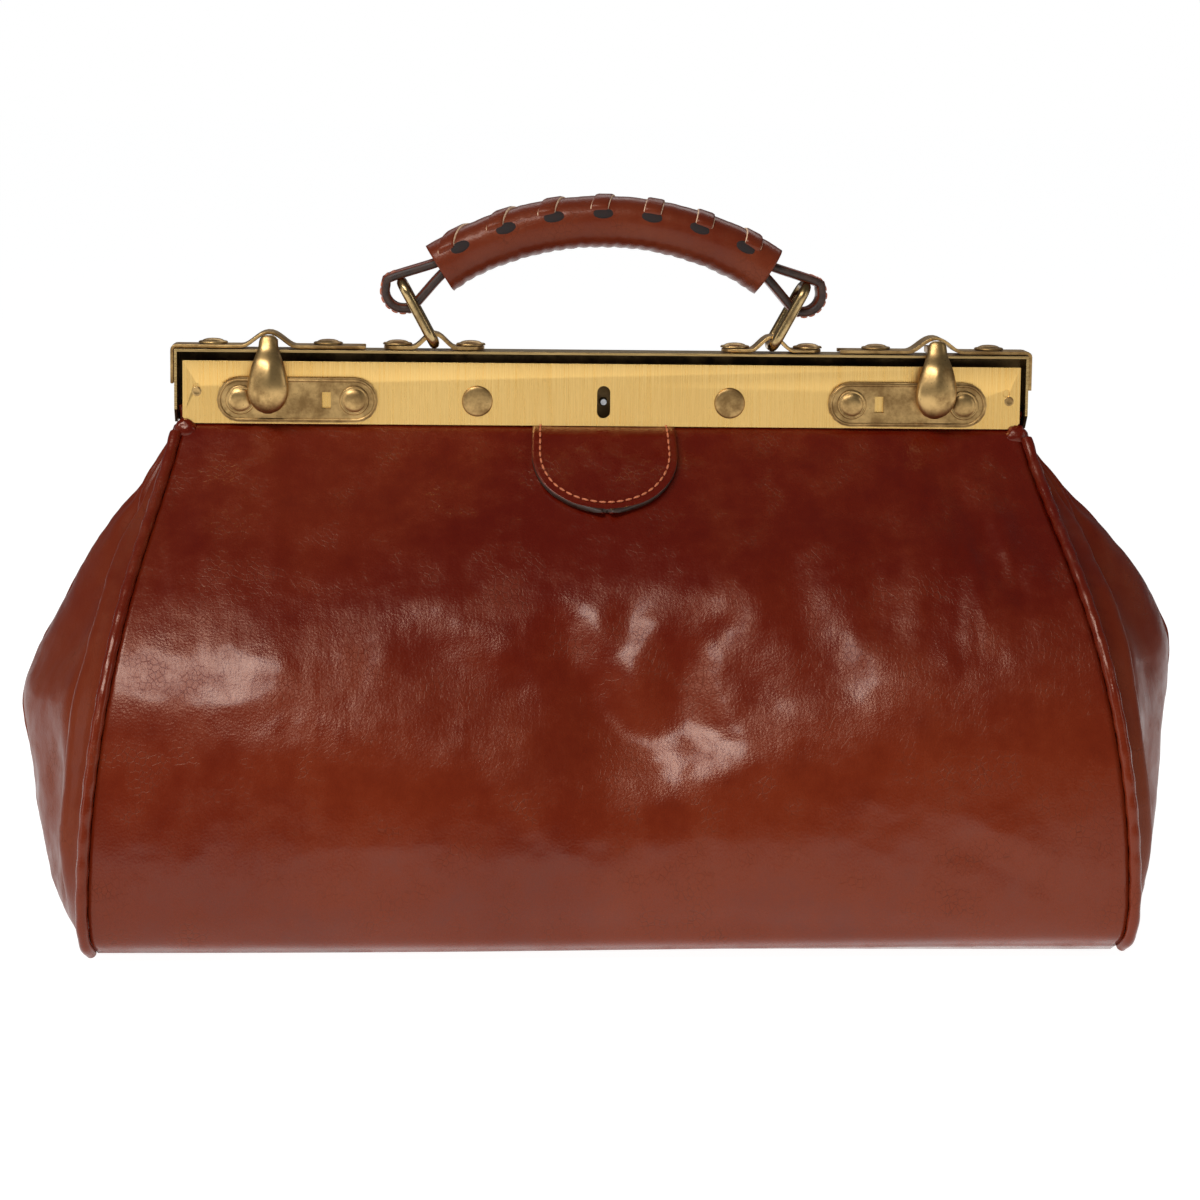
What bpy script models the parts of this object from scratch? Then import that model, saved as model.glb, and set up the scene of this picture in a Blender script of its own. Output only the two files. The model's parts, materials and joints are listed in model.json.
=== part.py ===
"""A leather doctor bag with a hinged brass frame, 12 inches long, in metres with +Z up.

The bag stands on the floor with its middle at the origin. +X runs along its length and its front
faces -Y. Two brass frame halves nest together at the mouth. Each half is a long bar with an arm at
either end, and the arms meet inside the bag on two hinge rivets, so the halves swing apart.
"""

import math

import bmesh
import bpy
from mathutils import Matrix, Vector

# ---------------------------------------------------------------- driving dimensions
FRAME_LENGTH = 0.306
FRAME_TOP = 0.203
FRAME_BACK = 0.008
PLATE_LENGTH = 0.300
PLATE_HEIGHT = 0.0223
METAL = 0.0012
GAP = 0.0003
LEATHER = 0.0014
LINING = 0.0008

PLATE_TOP = FRAME_TOP - 0.0040
PLATE_FOOT = PLATE_TOP - PLATE_HEIGHT
PLATE_MIDDLE = PLATE_FOOT + 0.0086
PLATE_FACE = -FRAME_BACK
PLATE_INSIDE = PLATE_FACE + METAL

HINGE_HEIGHT = 0.085
HINGE_PIN_RADIUS = 0.0020
ARM_WIDTH = 0.0064
ARM_THICKNESS = 0.0020
ARM_EYE = 0.0052
FRONT_ARM_X = 0.1385
REAR_ARM_X = 0.1410
HINGE_HEAD_RADIUS = 0.0036
HINGE_HEAD = 0.0008

SHELL_WALL = 0.0010
SHELL_LIP = 0.0075
SHELL_NICK = 0.0058
PLATE_CORNER = 0.0022
DIMPLE_X = 0.1450
DIMPLE_RADIUS = 0.0013
CLAMP_HALF_LENGTH = 0.1480
CLAMP_THICKNESS = 0.0008
CLAMP_FACE = PLATE_INSIDE + LEATHER + 2 * GAP
CLAMP_BACK = CLAMP_FACE + CLAMP_THICKNESS

RIVET_RADIUS = 0.00525
RIVET_DOME = 0.0017
RIVET_RIM = 0.0004
SHANK_RADIUS = 0.0015
HOLE_RADIUS = 0.0018
DRILL = 0.010

CATCH_X = 0.1195
CATCH_PLATE_X = 0.1092
CATCH_PLATE_LENGTH = 0.0572
CATCH_PLATE_HEIGHT = 0.0160
CATCH_RIVET_OFFSET = 0.0202
WINDOW_OFFSET = 0.0103
WINDOW_SIZE = (0.0033, 0.0058)
CATCH_PIN = Vector((0.0, -0.0086, 0.2062))
LEVER_PIN_RADIUS = 0.0007
LEVER_EYE_RADIUS = 0.0010
TONGUE_RADIUS = 0.0019

STRAP_TOP = FRAME_TOP + GAP
STRAP_DEPTH = 0.0125
STRAP_MIDDLE_Y = 0.0010
STRAP_END_X = 0.0850
STRAP_DROP = 0.0125
FISHTAIL = 0.0042
TOP_RIVETS_X = (0.0985, 0.1395)
BRACKET_X = 0.0606
BRACKET_HALF = 0.0182
BRACKET_RIVET_OFFSET = 0.0131
HUMP_RISE = 0.0050
CATCH_HUMP_HALF = 0.0100
RING_HUMP_HALF = 0.0078

RING_WIRE = 0.00185
RING_LENGTH = 0.0245
RING_HALF_WIDTH = 0.00845
RING_TILT = math.radians(28.5)
RING_CORNER = 0.0030
RING_FOOT_Z = STRAP_TOP + RING_WIRE + GAP
RING_TOP_X = BRACKET_X + RING_LENGTH * math.sin(RING_TILT)
RING_TOP_Z = RING_FOOT_Z + RING_LENGTH * math.cos(RING_TILT)

HANDLE_MIDDLE_Z = 0.2506
HANDLE_RADIUS = 0.1110
GRIP_HALF_ANGLE = math.radians(32.5)
GRIP_WIDTH = 0.0180
GRIP_HEIGHT = 0.0155
COVER_WALL = 0.0013
COVER_LIFT = -0.0012
COVER_SLIT = 0.0014
HANDLE_STRAP_WIDTH = 0.0130
HANDLE_STRAP_THICKNESS = 0.0032
STRAP_LIFT = 0.0018
LOOP_HOLE = 0.0054
LOOP_WALL = 0.0026
LOOP_X, LOOP_Z = RING_TOP_X - 0.0006, RING_TOP_Z - 0.0028
CORE_RADIUS = 0.0056
LACE_BANDS = 7
LACE_BAND_WIDTH = 0.0066
LACE_PITCH = math.radians(8.9)

LOCK_RIVET_X = 0.0452
LOCK_RIVET_RADIUS = 0.0055
LOCK_RIVET_DOME = 0.0009
LOCK_POST_RADIUS = 0.0011
LOCK_TAB_RADIUS = 0.0272
LOCK_TAB_DROP = 0.0420
KEYHOLE = (0.0047, 0.0116)

# The skin of the bag down its front: (how far forward, height, half width at the seam).
SIDE_PROFILE = (
    (0.0100, 0.1742, 0.1520),
    (0.0185, 0.1640, 0.1545),
    (0.0330, 0.1500, 0.1585),
    (0.0505, 0.1345, 0.1630),
    (0.0670, 0.1170, 0.1675),
    (0.0800, 0.0970, 0.1715),
    (0.0885, 0.0740, 0.1750),
    (0.0925, 0.0480, 0.1778),
    (0.0935, 0.0220, 0.1790),
    (0.0900, 0.0080, 0.1785),
    (0.0830, 0.0022, 0.1768),
)
# The ridge of a gusset, from the frame down to the floor: (half length of the bag, height).
GUSSET_RIDGE = (
    (0.1535, 0.1742),
    (0.1590, 0.1650),
    (0.1690, 0.1530),
    (0.1815, 0.1385),
    (0.1930, 0.1225),
    (0.2030, 0.1050),
    (0.2080, 0.0880),
    (0.2045, 0.0610),
    (0.2010, 0.0350),
    (0.1950, 0.0120),
    (0.1830, 0.0022),
)
BASE_HALF_LENGTH = 0.1715
BASE_HALF_DEPTH = 0.0722
FOOT_GAP = 0.0018
PIPING_RADIUS = 0.0020
SEAM_GAP = PIPING_RADIUS + 0.0004

SIDES = (("left", -1), ("right", 1))

# ---------------------------------------------------------------- scene and materials
for leftover in list(bpy.data.objects):
    bpy.data.objects.remove(leftover, do_unlink=True)

parts = bpy.data.collections.new("doctor_bag")
cutters = bpy.data.collections.new("cutters")
bpy.context.scene.collection.children.link(parts)
bpy.context.scene.collection.children.link(cutters)


def material(name, colour, roughness, metallic=0.0):
    made = bpy.data.materials.new(name)
    made.use_nodes = True
    shader = made.node_tree.nodes["Principled BSDF"]
    shader.inputs["Base Color"].default_value = (*colour, 1)
    shader.inputs["Roughness"].default_value = roughness
    shader.inputs["Metallic"].default_value = metallic
    return made


BRASS = material("brushed_brass", (0.74, 0.46, 0.14), 0.32, 1)
OLD_BRASS = material("antique_brass", (0.30, 0.19, 0.075), 0.38, 1)
STEEL = material("steel", (0.55, 0.55, 0.56), 0.35, 1)
HIDE = material("bag_leather", (0.155, 0.030, 0.011), 0.28)
GRIP_HIDE = material("handle_leather", (0.125, 0.026, 0.011), 0.35)
CLOTH = material("lining_cloth", (0.30, 0.17, 0.09), 0.9)
BOARD = material("base_board", (0.36, 0.25, 0.15), 0.9)
PADDING = material("padding", (0.42, 0.30, 0.19), 0.9)


# ---------------------------------------------------------------- shape helpers
def add(name, mesh, finish, smooth_angle=35):
    mesh.materials.clear()
    mesh.materials.append(finish)
    mesh.shade_smooth()
    mesh.set_sharp_from_angle(angle=math.radians(smooth_angle))
    made = bpy.data.objects.new(name, mesh)
    parts.objects.link(made)
    return made


def add_cutter(name, mesh):
    made = bpy.data.objects.new(name, mesh)
    made.hide_render = True
    made.display_type = "WIRE"
    cutters.objects.link(made)
    return made


def boolean(piece, other, operation="DIFFERENCE", solver="EXACT"):
    step = piece.modifiers.new(f"{operation.lower()}_{other.name}", "BOOLEAN")
    step.operation = operation
    step.object = other
    step.solver = solver


def block_mesh(low, high, bevel=0.0):
    low, high = Vector(low), Vector(high)
    shape = bmesh.new()
    bmesh.ops.create_cube(shape, size=1)
    bmesh.ops.scale(shape, vec=high - low, verts=shape.verts)
    bmesh.ops.translate(shape, vec=(low + high) / 2, verts=shape.verts)
    if bevel:
        bmesh.ops.bevel(shape, geom=shape.edges, offset=bevel, segments=2, profile=0.5, affect="EDGES")
    mesh = bpy.data.meshes.new("block")
    shape.to_mesh(mesh)
    shape.free()
    return mesh


TURN = {
    "X": Matrix.Rotation(math.pi / 2, 4, "Y"),
    "Y": Matrix.Rotation(math.pi / 2, 4, "X"),
    "Z": Matrix.Identity(4),
}


def rod_mesh(centre, radius, length, axis, segments=16):
    shape = bmesh.new()
    place = Matrix.Translation(centre) @ TURN[axis]
    bmesh.ops.create_cone(
        shape, cap_ends=True, segments=segments, radius1=radius, radius2=radius, depth=length, matrix=place
    )
    mesh = bpy.data.meshes.new("rod")
    shape.to_mesh(mesh)
    shape.free()
    return mesh


# A flat outline's own x, y and thickness run along these world directions.
PLANES = {
    "XY": Matrix.Identity(4),
    "XZ": Matrix.Rotation(math.pi / 2, 4, "X"),
    "YZ": Matrix(((0, 0, 1, 0), (1, 0, 0, 0), (0, 1, 0, 0), (0, 0, 0, 1))),
}


def outline_mesh(loops, thickness, plane, centre):
    """A flat piece, cut to closed outlines and as thick as told, as a welded mesh in world space."""
    curve = bpy.data.curves.new("outline", "CURVE")
    curve.dimensions = "2D"
    curve.fill_mode = "BOTH"
    curve.extrude = thickness / 2
    for loop in loops:
        spline = curve.splines.new("POLY")
        spline.points.add(len(loop) - 1)
        for point, (a, b) in zip(spline.points, loop):
            point.co = (a, b, 0, 1)
        spline.use_cyclic_u = True
    flat = bpy.data.objects.new("outline", curve)
    bpy.context.scene.collection.objects.link(flat)
    flat.matrix_world = Matrix.Translation(centre) @ PLANES[plane]
    bpy.context.view_layer.update()
    graph = bpy.context.evaluated_depsgraph_get()
    mesh = bpy.data.meshes.new_from_object(flat.evaluated_get(graph))
    mesh.transform(flat.matrix_world)
    bpy.data.objects.remove(flat, do_unlink=True)
    shape = bmesh.new()
    shape.from_mesh(mesh)
    bmesh.ops.remove_doubles(shape, verts=shape.verts, dist=1e-6)
    bmesh.ops.recalc_face_normals(shape, faces=shape.faces)
    shape.to_mesh(mesh)
    shape.free()
    return mesh


def arc(centre, radius, start, end, steps):
    """Points round part of a circle, angles in degrees."""
    turns = [math.radians(start + (end - start) * k / steps) for k in range(steps + 1)]
    return [(centre[0] + radius * math.cos(t), centre[1] + radius * math.sin(t)) for t in turns]


def stadium(centre, length, height, steps=8):
    """A slot with round ends, long way along its first direction."""
    reach = (length - height) / 2
    right = arc((centre[0] + reach, centre[1]), height / 2, -90, 90, steps)
    left = arc((centre[0] - reach, centre[1]), height / 2, 90, 270, steps)
    return right + left


def strip_outline(points, thickness):
    """The outline of a thin bent strip whose underside follows the points."""
    outer = []
    for k, here in enumerate(points):
        before, after = points[max(k - 1, 0)], points[min(k + 1, len(points) - 1)]
        along = (Vector(after) - Vector(before)).normalized()
        outer.append((here[0] - along.y * thickness, here[1] + along.x * thickness))
    return list(points) + outer[::-1]


def cut_holes(piece, name, holes):
    """Drills round holes, each given as centre, radius, length and axis."""
    joined = bmesh.new()
    for centre, radius, length, axis in holes:
        joined.from_mesh(rod_mesh(centre, radius, length, axis))
    mesh = bpy.data.meshes.new(name)
    joined.to_mesh(mesh)
    joined.free()
    boolean(piece, add_cutter(name, mesh))


def rivet(name, head_foot, facing, shank, finish=OLD_BRASS, radius=RIVET_RADIUS, dome=RIVET_DOME):
    """A domed rivet, turned about its own axis: its head's underside sits at head_foot."""
    rings = 3
    profile = [(0.0, dome)]
    for k in range(1, rings + 1):
        profile.append((radius * k / rings, RIVET_RIM + (dome - RIVET_RIM) * (1 - (k / rings) ** 2.2)))
    profile += [(radius, 0.0), (SHANK_RADIUS, 0.0), (SHANK_RADIUS, -shank), (0.0, -shank)]
    mesh = bpy.data.meshes.new(name)
    ends = [(k, k + 1) for k in range(len(profile) - 1)]
    mesh.from_pydata([(x, 0, z) for x, z in profile], ends, [])
    made = add(name, mesh, finish)
    spin = made.modifiers.new("turn", "SCREW")
    spin.steps = spin.render_steps = 16
    spin.use_merge_vertices = True
    spin.merge_threshold = 1e-5
    made.location = head_foot
    made.rotation_euler = Vector(facing).to_track_quat("Z", "Y").to_euler()
    return made


def smooth_path(points, per_span):
    """Evenly many points along a Catmull-Rom curve through the given ones."""
    points = [Vector(p) for p in points]
    points = [2 * points[0] - points[1], *points, 2 * points[-1] - points[-2]]
    found = []
    for k in range(1, len(points) - 2):
        a, b, c, d = points[k - 1 : k + 3]
        for step in range(per_span):
            t = step / per_span
            curve = (c - a) * t + (2 * a - 5 * b + 4 * c - d) * t**2 + (3 * b - a - 3 * c + d) * t**3
            found.append(b + curve / 2)
    return found + [points[-2]]


def wire(name, points, radius, finish, cyclic=False, resolution=2):
    curve = bpy.data.curves.new(name, "CURVE")
    curve.dimensions = "3D"
    curve.bevel_depth = radius
    curve.bevel_resolution = resolution
    curve.use_fill_caps = not cyclic
    spline = curve.splines.new("POLY")
    spline.points.add(len(points) - 1)
    for point, place in zip(spline.points, points):
        point.co = (*place, 1)
    spline.use_cyclic_u = cyclic
    curve.materials.append(finish)
    made = bpy.data.objects.new(name, curve)
    parts.objects.link(made)
    return made


def sheet(name, rows, thickness, finish, flip=False):
    """A skin through rows of points, with its thickness built inwards."""
    across = len(rows[0])
    faces = []
    for r in range(len(rows) - 1):
        for c in range(across - 1):
            a = r * across + c
            face = (a, a + 1, a + across + 1, a + across)
            faces.append(face[::-1] if flip else face)
    mesh = bpy.data.meshes.new(name)
    mesh.from_pydata([tuple(p) for row in rows for p in row], [], faces)
    made = add(name, mesh, finish)
    wall = made.modifiers.new("thickness", "SOLIDIFY")
    wall.thickness = thickness
    wall.offset = -1
    wall.use_even_offset = False
    return made


# ---------------------------------------------------------------- leather
PROFILE = smooth_path([(y, z, x) for y, z, x in SIDE_PROFILE], 2)
RIDGE = smooth_path([(x, z, 0) for x, z in GUSSET_RIDGE], 2)
PANEL_COLUMNS = 14
GUSSET_COLUMNS = 10


def panel(name, side):
    """The front (side -1) or rear panel: its top margin is held in the frame, its foot turns under."""
    margin = [(0.0065, PLATE_TOP - 0.0115, 0.1488), (0.0065, PLATE_FOOT - 0.0004, 0.1490)]
    foot = [(BASE_HALF_DEPTH + FOOT_GAP, 0.0, 0.1724 + SEAM_GAP)]
    profile = margin + [tuple(p) for p in PROFILE] + foot
    rows = []
    for forward, height, seam in profile:
        half = seam - SEAM_GAP
        puff = 0.0012 * min(1, max(0, (0.17 - height) / 0.05)) * min(1, height / 0.02)
        row = []
        for c in range(PANEL_COLUMNS + 1):
            u = 2 * c / PANEL_COLUMNS - 1
            swell = puff * (1 - abs(u) ** 6)
            row.append((u * half, side * (forward + swell), max(height - 0.0004 * (height < 0.003), 0)))
        rows.append(row)
    return sheet(name, rows, LEATHER, HIDE, flip=side < 0)


def gusset(name, side):
    """An end panel, from seam to seam round a ridge that stands out in the middle."""
    rows = []
    top = [(0.1515, PLATE_FOOT + 0.0060, 0.0040), (0.1515, PLATE_FOOT, 0.0042)]
    across = [2 * c / GUSSET_COLUMNS - 1 for c in range(GUSSET_COLUMNS + 1)]
    for out, height, half in top:
        rows.append([(side * out, half * s, height) for s in across])
    for k, (seam, ridge) in enumerate(zip(PROFILE, RIDGE)):
        along = (PROFILE[min(k + 1, len(PROFILE) - 1)] - PROFILE[max(k - 1, 0)]).xy.normalized()
        edge = Vector((seam.z, seam.x + SEAM_GAP * along.y, seam.y - SEAM_GAP * along.x))
        ridge_out, ridge_z = max(ridge.x, seam.z), ridge.y
        sharp = 1.25 + 0.9 * min(1, max(0, (0.1 - edge.z) / 0.08))
        row = []
        for s in across:
            inward = 1 - abs(s) ** sharp
            out = edge.x + (ridge_out - edge.x) * inward
            row.append((side * out, s * edge.y, edge.z + (ridge_z - edge.z) * inward))
        rows.append(row)
    foot = BASE_HALF_LENGTH + FOOT_GAP
    rows.append([(side * foot, BASE_HALF_DEPTH * s, 0.0) for s in across])
    return sheet(name, rows, LEATHER, HIDE, flip=side > 0)


def piping(name, side, face):
    """A leather-covered bead along the seam of a panel and a gusset, from the frame to the floor."""
    seam = [(side * p.z, face * p.x, max(p.y, PIPING_RADIUS + 0.0001)) for p in PROFILE]
    return wire(name, seam, PIPING_RADIUS, HIDE)


front_panel = panel("front_panel", -1)
rear_panel = panel("rear_panel", 1)
gussets = [gusset(f"{word}_gusset", side) for word, side in SIDES]
pipings = [
    piping(f"piping_{place}_{word}", side, face)
    for place, face in (("front", -1), ("rear", 1))
    for word, side in SIDES
]
bottom_panel = add(
    "bottom_panel",
    block_mesh((-BASE_HALF_LENGTH, -BASE_HALF_DEPTH, 0), (BASE_HALF_LENGTH, BASE_HALF_DEPTH, LEATHER)),
    HIDE,
)
base_board = add(
    "base_board",
    block_mesh((-0.1670, -0.0705, LEATHER + GAP), (0.1670, 0.0705, LEATHER + GAP + 0.0022), 0.0006),
    BOARD,
)


def lining_loop(height, half_length, half_depth, steps=5):
    """One level of the lining, a rectangle with round corners."""
    r = min(0.02, half_depth * 0.8)
    loop = []
    for k, (sx, sy) in enumerate(((1, -1), (1, 1), (-1, 1), (-1, -1))):
        centre = (sx * (half_length - r), sy * (half_depth - r))
        loop += [(x, y, height) for x, y in arc(centre, r, 90 * k - 90, 90 * k, steps - 1)]
    return loop


def lining_shell():
    """The cloth bag inside, open at the frame: wide below the hinges and between the arms above them."""
    levels = (
        (PLATE_FOOT - 0.0006, 0.1340, 0.0040),
        (0.1660, 0.1345, 0.0115),
        (0.1530, 0.1350, 0.0250),
        (0.1390, 0.1350, 0.0405),
        (0.1240, 0.1350, 0.0560),
        (0.1060, 0.1350, 0.0695),
        (0.0900, 0.1350, 0.0785),
        (0.0780, 0.1352, 0.0830),
        (0.0600, 0.1560, 0.0870),
        (0.0400, 0.1680, 0.0890),
        (0.0180, 0.1690, 0.0880),
        (0.0080, 0.1670, 0.0800),
        (0.0046, 0.1600, 0.0680),
    )
    loops = [lining_loop(*level) for level in levels]
    around = len(loops[0])
    faces = []
    for r in range(len(loops) - 1):
        for c in range(around):
            a, b = r * around + c, r * around + (c + 1) % around
            faces.append((a, a + around, b + around, b))
    last = (len(loops) - 1) * around
    faces.append(tuple(range(last, last + around))[::-1])
    mesh = bpy.data.meshes.new("lining")
    mesh.from_pydata([p for loop in loops for p in loop], [], faces)
    made = add("lining", mesh, CLOTH)
    wall = made.modifiers.new("thickness", "SOLIDIFY")
    wall.thickness = LINING
    wall.offset = -1
    return made


lining = lining_shell()

# ---------------------------------------------------------------- front half of the frame
catch_rivets = [
    (side * (CATCH_PLATE_X + end * CATCH_RIVET_OFFSET), word, place)
    for word, side in SIDES
    for place, end in (("inner", -1), ("outer", 1))
]


def front_plate_piece():
    corner, middle = PLATE_CORNER, PLATE_FACE + METAL / 2
    half, foot, top = PLATE_LENGTH / 2, PLATE_FOOT, PLATE_TOP
    cut = [
        (-half + corner, foot), (half - corner, foot), (half, foot + corner),
        (half, top), (-half, top), (-half, foot + corner),
    ]
    keyhole = [(b, a) for a, b in stadium((PLATE_MIDDLE, 0), KEYHOLE[1], KEYHOLE[0])]
    made = add("front_plate", outline_mesh([cut, keyhole], METAL, "XZ", (0, middle, 0)), BRASS)
    rivet_places = [x for x, _, _ in catch_rivets] + [side * LOCK_RIVET_X for _, side in SIDES]
    holes = [((x, middle, PLATE_MIDDLE), HOLE_RADIUS, DRILL, "Y") for x in rivet_places]
    cut_holes(made, "front_plate_holes", holes)
    dimple_z = PLATE_FOOT + PLATE_HEIGHT * 0.58
    dimples = [((side * DIMPLE_X, PLATE_FACE, dimple_z), DIMPLE_RADIUS, METAL, "Y") for _, side in SIDES]
    cut_holes(made, "front_plate_dimples", dimples)
    for word, side in SIDES:
        boolean(made, add_cutter(f"{word}_window", window_mesh(side)))
    return made


def window_mesh(side):
    """The opening that a lever's nib drops into."""
    x = side * (CATCH_PLATE_X + WINDOW_OFFSET)
    w, h = WINDOW_SIZE
    return block_mesh((x - w / 2, -0.012, PLATE_MIDDLE - h / 2), (x + w / 2, -0.005, PLATE_MIDDLE + h / 2))


front_plate = front_plate_piece()


def catch_plate(word, side):
    outer = stadium((side * CATCH_PLATE_X, PLATE_MIDDLE), CATCH_PLATE_LENGTH, CATCH_PLATE_HEIGHT)
    w, h = (v / 2 for v in WINDOW_SIZE)
    low, high = PLATE_MIDDLE - h, PLATE_MIDDLE + h
    loops = [outer]
    for end in (-1, 1):
        x = side * CATCH_PLATE_X + end * WINDOW_OFFSET
        loops.append([(x - w, low), (x + w, low), (x + w, high), (x - w, high)])
    for end in (-1, 1):
        centre = (side * CATCH_PLATE_X + end * CATCH_RIVET_OFFSET, PLATE_MIDDLE)
        loops.append(arc(centre, HOLE_RADIUS, 0, 337.5, 15))
    face = PLATE_FACE - GAP - METAL
    return add(f"{word}_catch_plate", outline_mesh(loops, METAL, "XZ", (0, face + METAL / 2, 0)), OLD_BRASS)


catch_plates = [catch_plate(word, side) for word, side in SIDES]
catch_plate_rivets = [
    rivet(
        f"catch_plate_rivet_{word}_{place}",
        (x, PLATE_FACE - 2 * GAP - METAL, PLATE_MIDDLE),
        (0, -1, 0),
        2 * METAL + 2 * GAP,
    )
    for x, word, place in catch_rivets
]
lock_rivets = [
    rivet(
        f"lock_rivet_{word}", (side * LOCK_RIVET_X, PLATE_FACE - GAP, PLATE_MIDDLE), (0, -1, 0), METAL + GAP,
        radius=LOCK_RIVET_RADIUS, dome=LOCK_RIVET_DOME,
    )
    for word, side in SIDES
]



def clamp_strip(name, face):
    """The flat strip that pinches a panel's top edge against its half of the frame."""
    low, high = sorted((-face * CLAMP_FACE, -face * CLAMP_BACK))
    edge = CLAMP_HALF_LENGTH
    return add(name, block_mesh((-edge, low, PLATE_FOOT + 0.0006), (edge, high, PLATE_TOP - 0.0100)), BRASS)


front_clamp_strip = clamp_strip("front_clamp_strip", -1)
rear_clamp_strip = clamp_strip("rear_clamp_strip", 1)
KEY_SLOT_HALF = (0.0030, 0.0062)
key_slot_mesh = block_mesh(
    (-KEY_SLOT_HALF[0], PLATE_FACE, PLATE_MIDDLE - KEY_SLOT_HALF[1]),
    (KEY_SLOT_HALF[0], CLAMP_BACK + 0.0010, PLATE_MIDDLE + KEY_SLOT_HALF[1]),
)
boolean(front_clamp_strip, add_cutter("key_slot", key_slot_mesh))
boolean(front_panel, add_cutter("key_slot_in_leather", key_slot_mesh.copy()))

LOCK_CASE_HALF_LENGTH = 0.0500
lock_case_mesh = block_mesh(
    (-LOCK_CASE_HALF_LENGTH, CLAMP_BACK + GAP, PLATE_FOOT + 0.0020),
    (LOCK_CASE_HALF_LENGTH, 0.0016, PLATE_TOP - 0.0045),
    0.0005,
)
lock_case = add("lock_case", lock_case_mesh, BRASS)
BOLT_HALF_HEIGHT = 0.0018
BOLT_X = (0.0345, 0.0560)
BOLT_Y = (-0.0020, 0.0002)
BOLT_Z = (PLATE_MIDDLE - BOLT_HALF_HEIGHT, PLATE_MIDDLE + BOLT_HALF_HEIGHT)
bolt_way = block_mesh(
    (BOLT_X[0] - 0.0045, BOLT_Y[0] - GAP, BOLT_Z[0] - GAP),
    (LOCK_CASE_HALF_LENGTH + 0.0020, BOLT_Y[1] + GAP, BOLT_Z[1] + GAP),
)
boolean(lock_case, add_cutter("bolt_way", bolt_way))
post_hole = rod_mesh((0, -0.0035, PLATE_MIDDLE), LOCK_POST_RADIUS + GAP, 0.0036, "Y")
boolean(lock_case, add_cutter("post_hole", post_hole))
bolt_mesh = block_mesh((BOLT_X[0], BOLT_Y[0], BOLT_Z[0]), (BOLT_X[1], BOLT_Y[1], BOLT_Z[1]), 0.0003)
lock_bolt = add("lock_bolt", bolt_mesh, STEEL)
lock_post = add("lock_post", rod_mesh((0, -0.0049, PLATE_MIDDLE), LOCK_POST_RADIUS, 0.0056, "Y", 12), STEEL)


def lock_tab_piece():
    """A half-round leather flap that hangs from under the plate, over the front panel."""
    half, drop = LOCK_TAB_RADIUS, LOCK_TAB_DROP
    columns, levels = 12, 8
    rows = []
    for r in range(levels + 1):
        down = drop * r / levels
        width = half * math.sqrt(max(0.0, 1 - max(0.0, (down - drop + half) / half) ** 2))
        row = []
        for c in range(columns + 1):
            x = max(width, 0.004) * (2 * c / columns - 1)
            place = skin_below_plate(down)
            row.append((x, -place[0] - LEATHER - GAP * 2, place[1] + LEATHER + GAP))
        rows.append(row)
    return sheet("lock_tab", rows, 0.0013, HIDE, flip=True)


def skin_below_plate(down):
    """Where the front panel's skin is, this far below the plate, measured along the skin."""
    walked = 0.0
    for a, b in zip(PROFILE, PROFILE[1:]):
        span = math.hypot(b.x - a.x, b.y - a.y)
        if walked + span >= down:
            t = (down - walked) / span
            return a.x + (b.x - a.x) * t + 0.0010, a.y + (b.y - a.y) * t
        walked += span
    return PROFILE[-1].x, PROFILE[-1].y


lock_tab = lock_tab_piece()


def arm(name, side, x, face):
    """One arm of a frame half: an eye on the hinge rivet, a bar up the inside and a foot on the clamp.

    Beside the clamp the bar is cut back on its far edge, which leaves room for the other half's foot.
    """
    half = ARM_WIDTH / 2
    clear = 0.0014
    meets_bar = 38
    bar = arc((0, HINGE_HEIGHT), ARM_EYE, 180 - meets_bar, 360 + meets_bar, 14)
    shoulder, top = PLATE_FOOT - 0.0060, PLATE_TOP - 0.0100
    edges = [(half, clear), (clear, half)][face < 0]
    bar += [(half, shoulder), (edges[0], shoulder + 0.0030), (edges[0], top)]
    bar += [(-edges[1], top), (-edges[1], shoulder + 0.0030), (-half, shoulder)]
    hole = arc((0, HINGE_HEIGHT), HINGE_PIN_RADIUS + GAP, 0, 337.5, 15)
    made = add(name, outline_mesh([bar, hole], ARM_THICKNESS, "YZ", (side * x, 0, 0)), BRASS)
    near, far = face * half, face * (half - 0.0012)
    ends = sorted((side * (x - 0.0005), side * (CLAMP_HALF_LENGTH + 0.0005)))
    low = (ends[0], min(near, far), PLATE_FOOT + 0.0015)
    high = (ends[1], max(near, far), PLATE_TOP - 0.0110)
    boolean(made, add_cutter(f"{name}_foot", block_mesh(low, high)), "UNION")
    return made


front_arms = [arm(f"front_arm_{word}", side, FRONT_ARM_X, -1) for word, side in SIDES]
rear_arms = [arm(f"rear_arm_{word}", side, REAR_ARM_X, 1) for word, side in SIDES]


def hinge_rivet(word, side):
    """The rivet that both arms of one end turn on, headed at both ends."""
    inner, outer = FRONT_ARM_X - ARM_THICKNESS / 2, REAR_ARM_X + ARM_THICKNESS / 2
    middle, length = side * (inner + outer) / 2, outer - inner
    made = add(
        f"hinge_rivet_{word}",
        rod_mesh((middle, 0, HINGE_HEIGHT), HINGE_PIN_RADIUS, length + 0.0014, "X", 20),
        STEEL,
    )
    clear = GAP + HINGE_HEAD / 2
    for k, x in enumerate((inner - clear, outer + clear)):
        head = rod_mesh((side * x, 0, HINGE_HEIGHT), HINGE_HEAD_RADIUS, HINGE_HEAD, "X", 20)
        boolean(made, add_cutter(f"hinge_head_{word}_{k}", head), "UNION")
    return made


hinge_rivets = [hinge_rivet(word, side) for word, side in SIDES]


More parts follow.
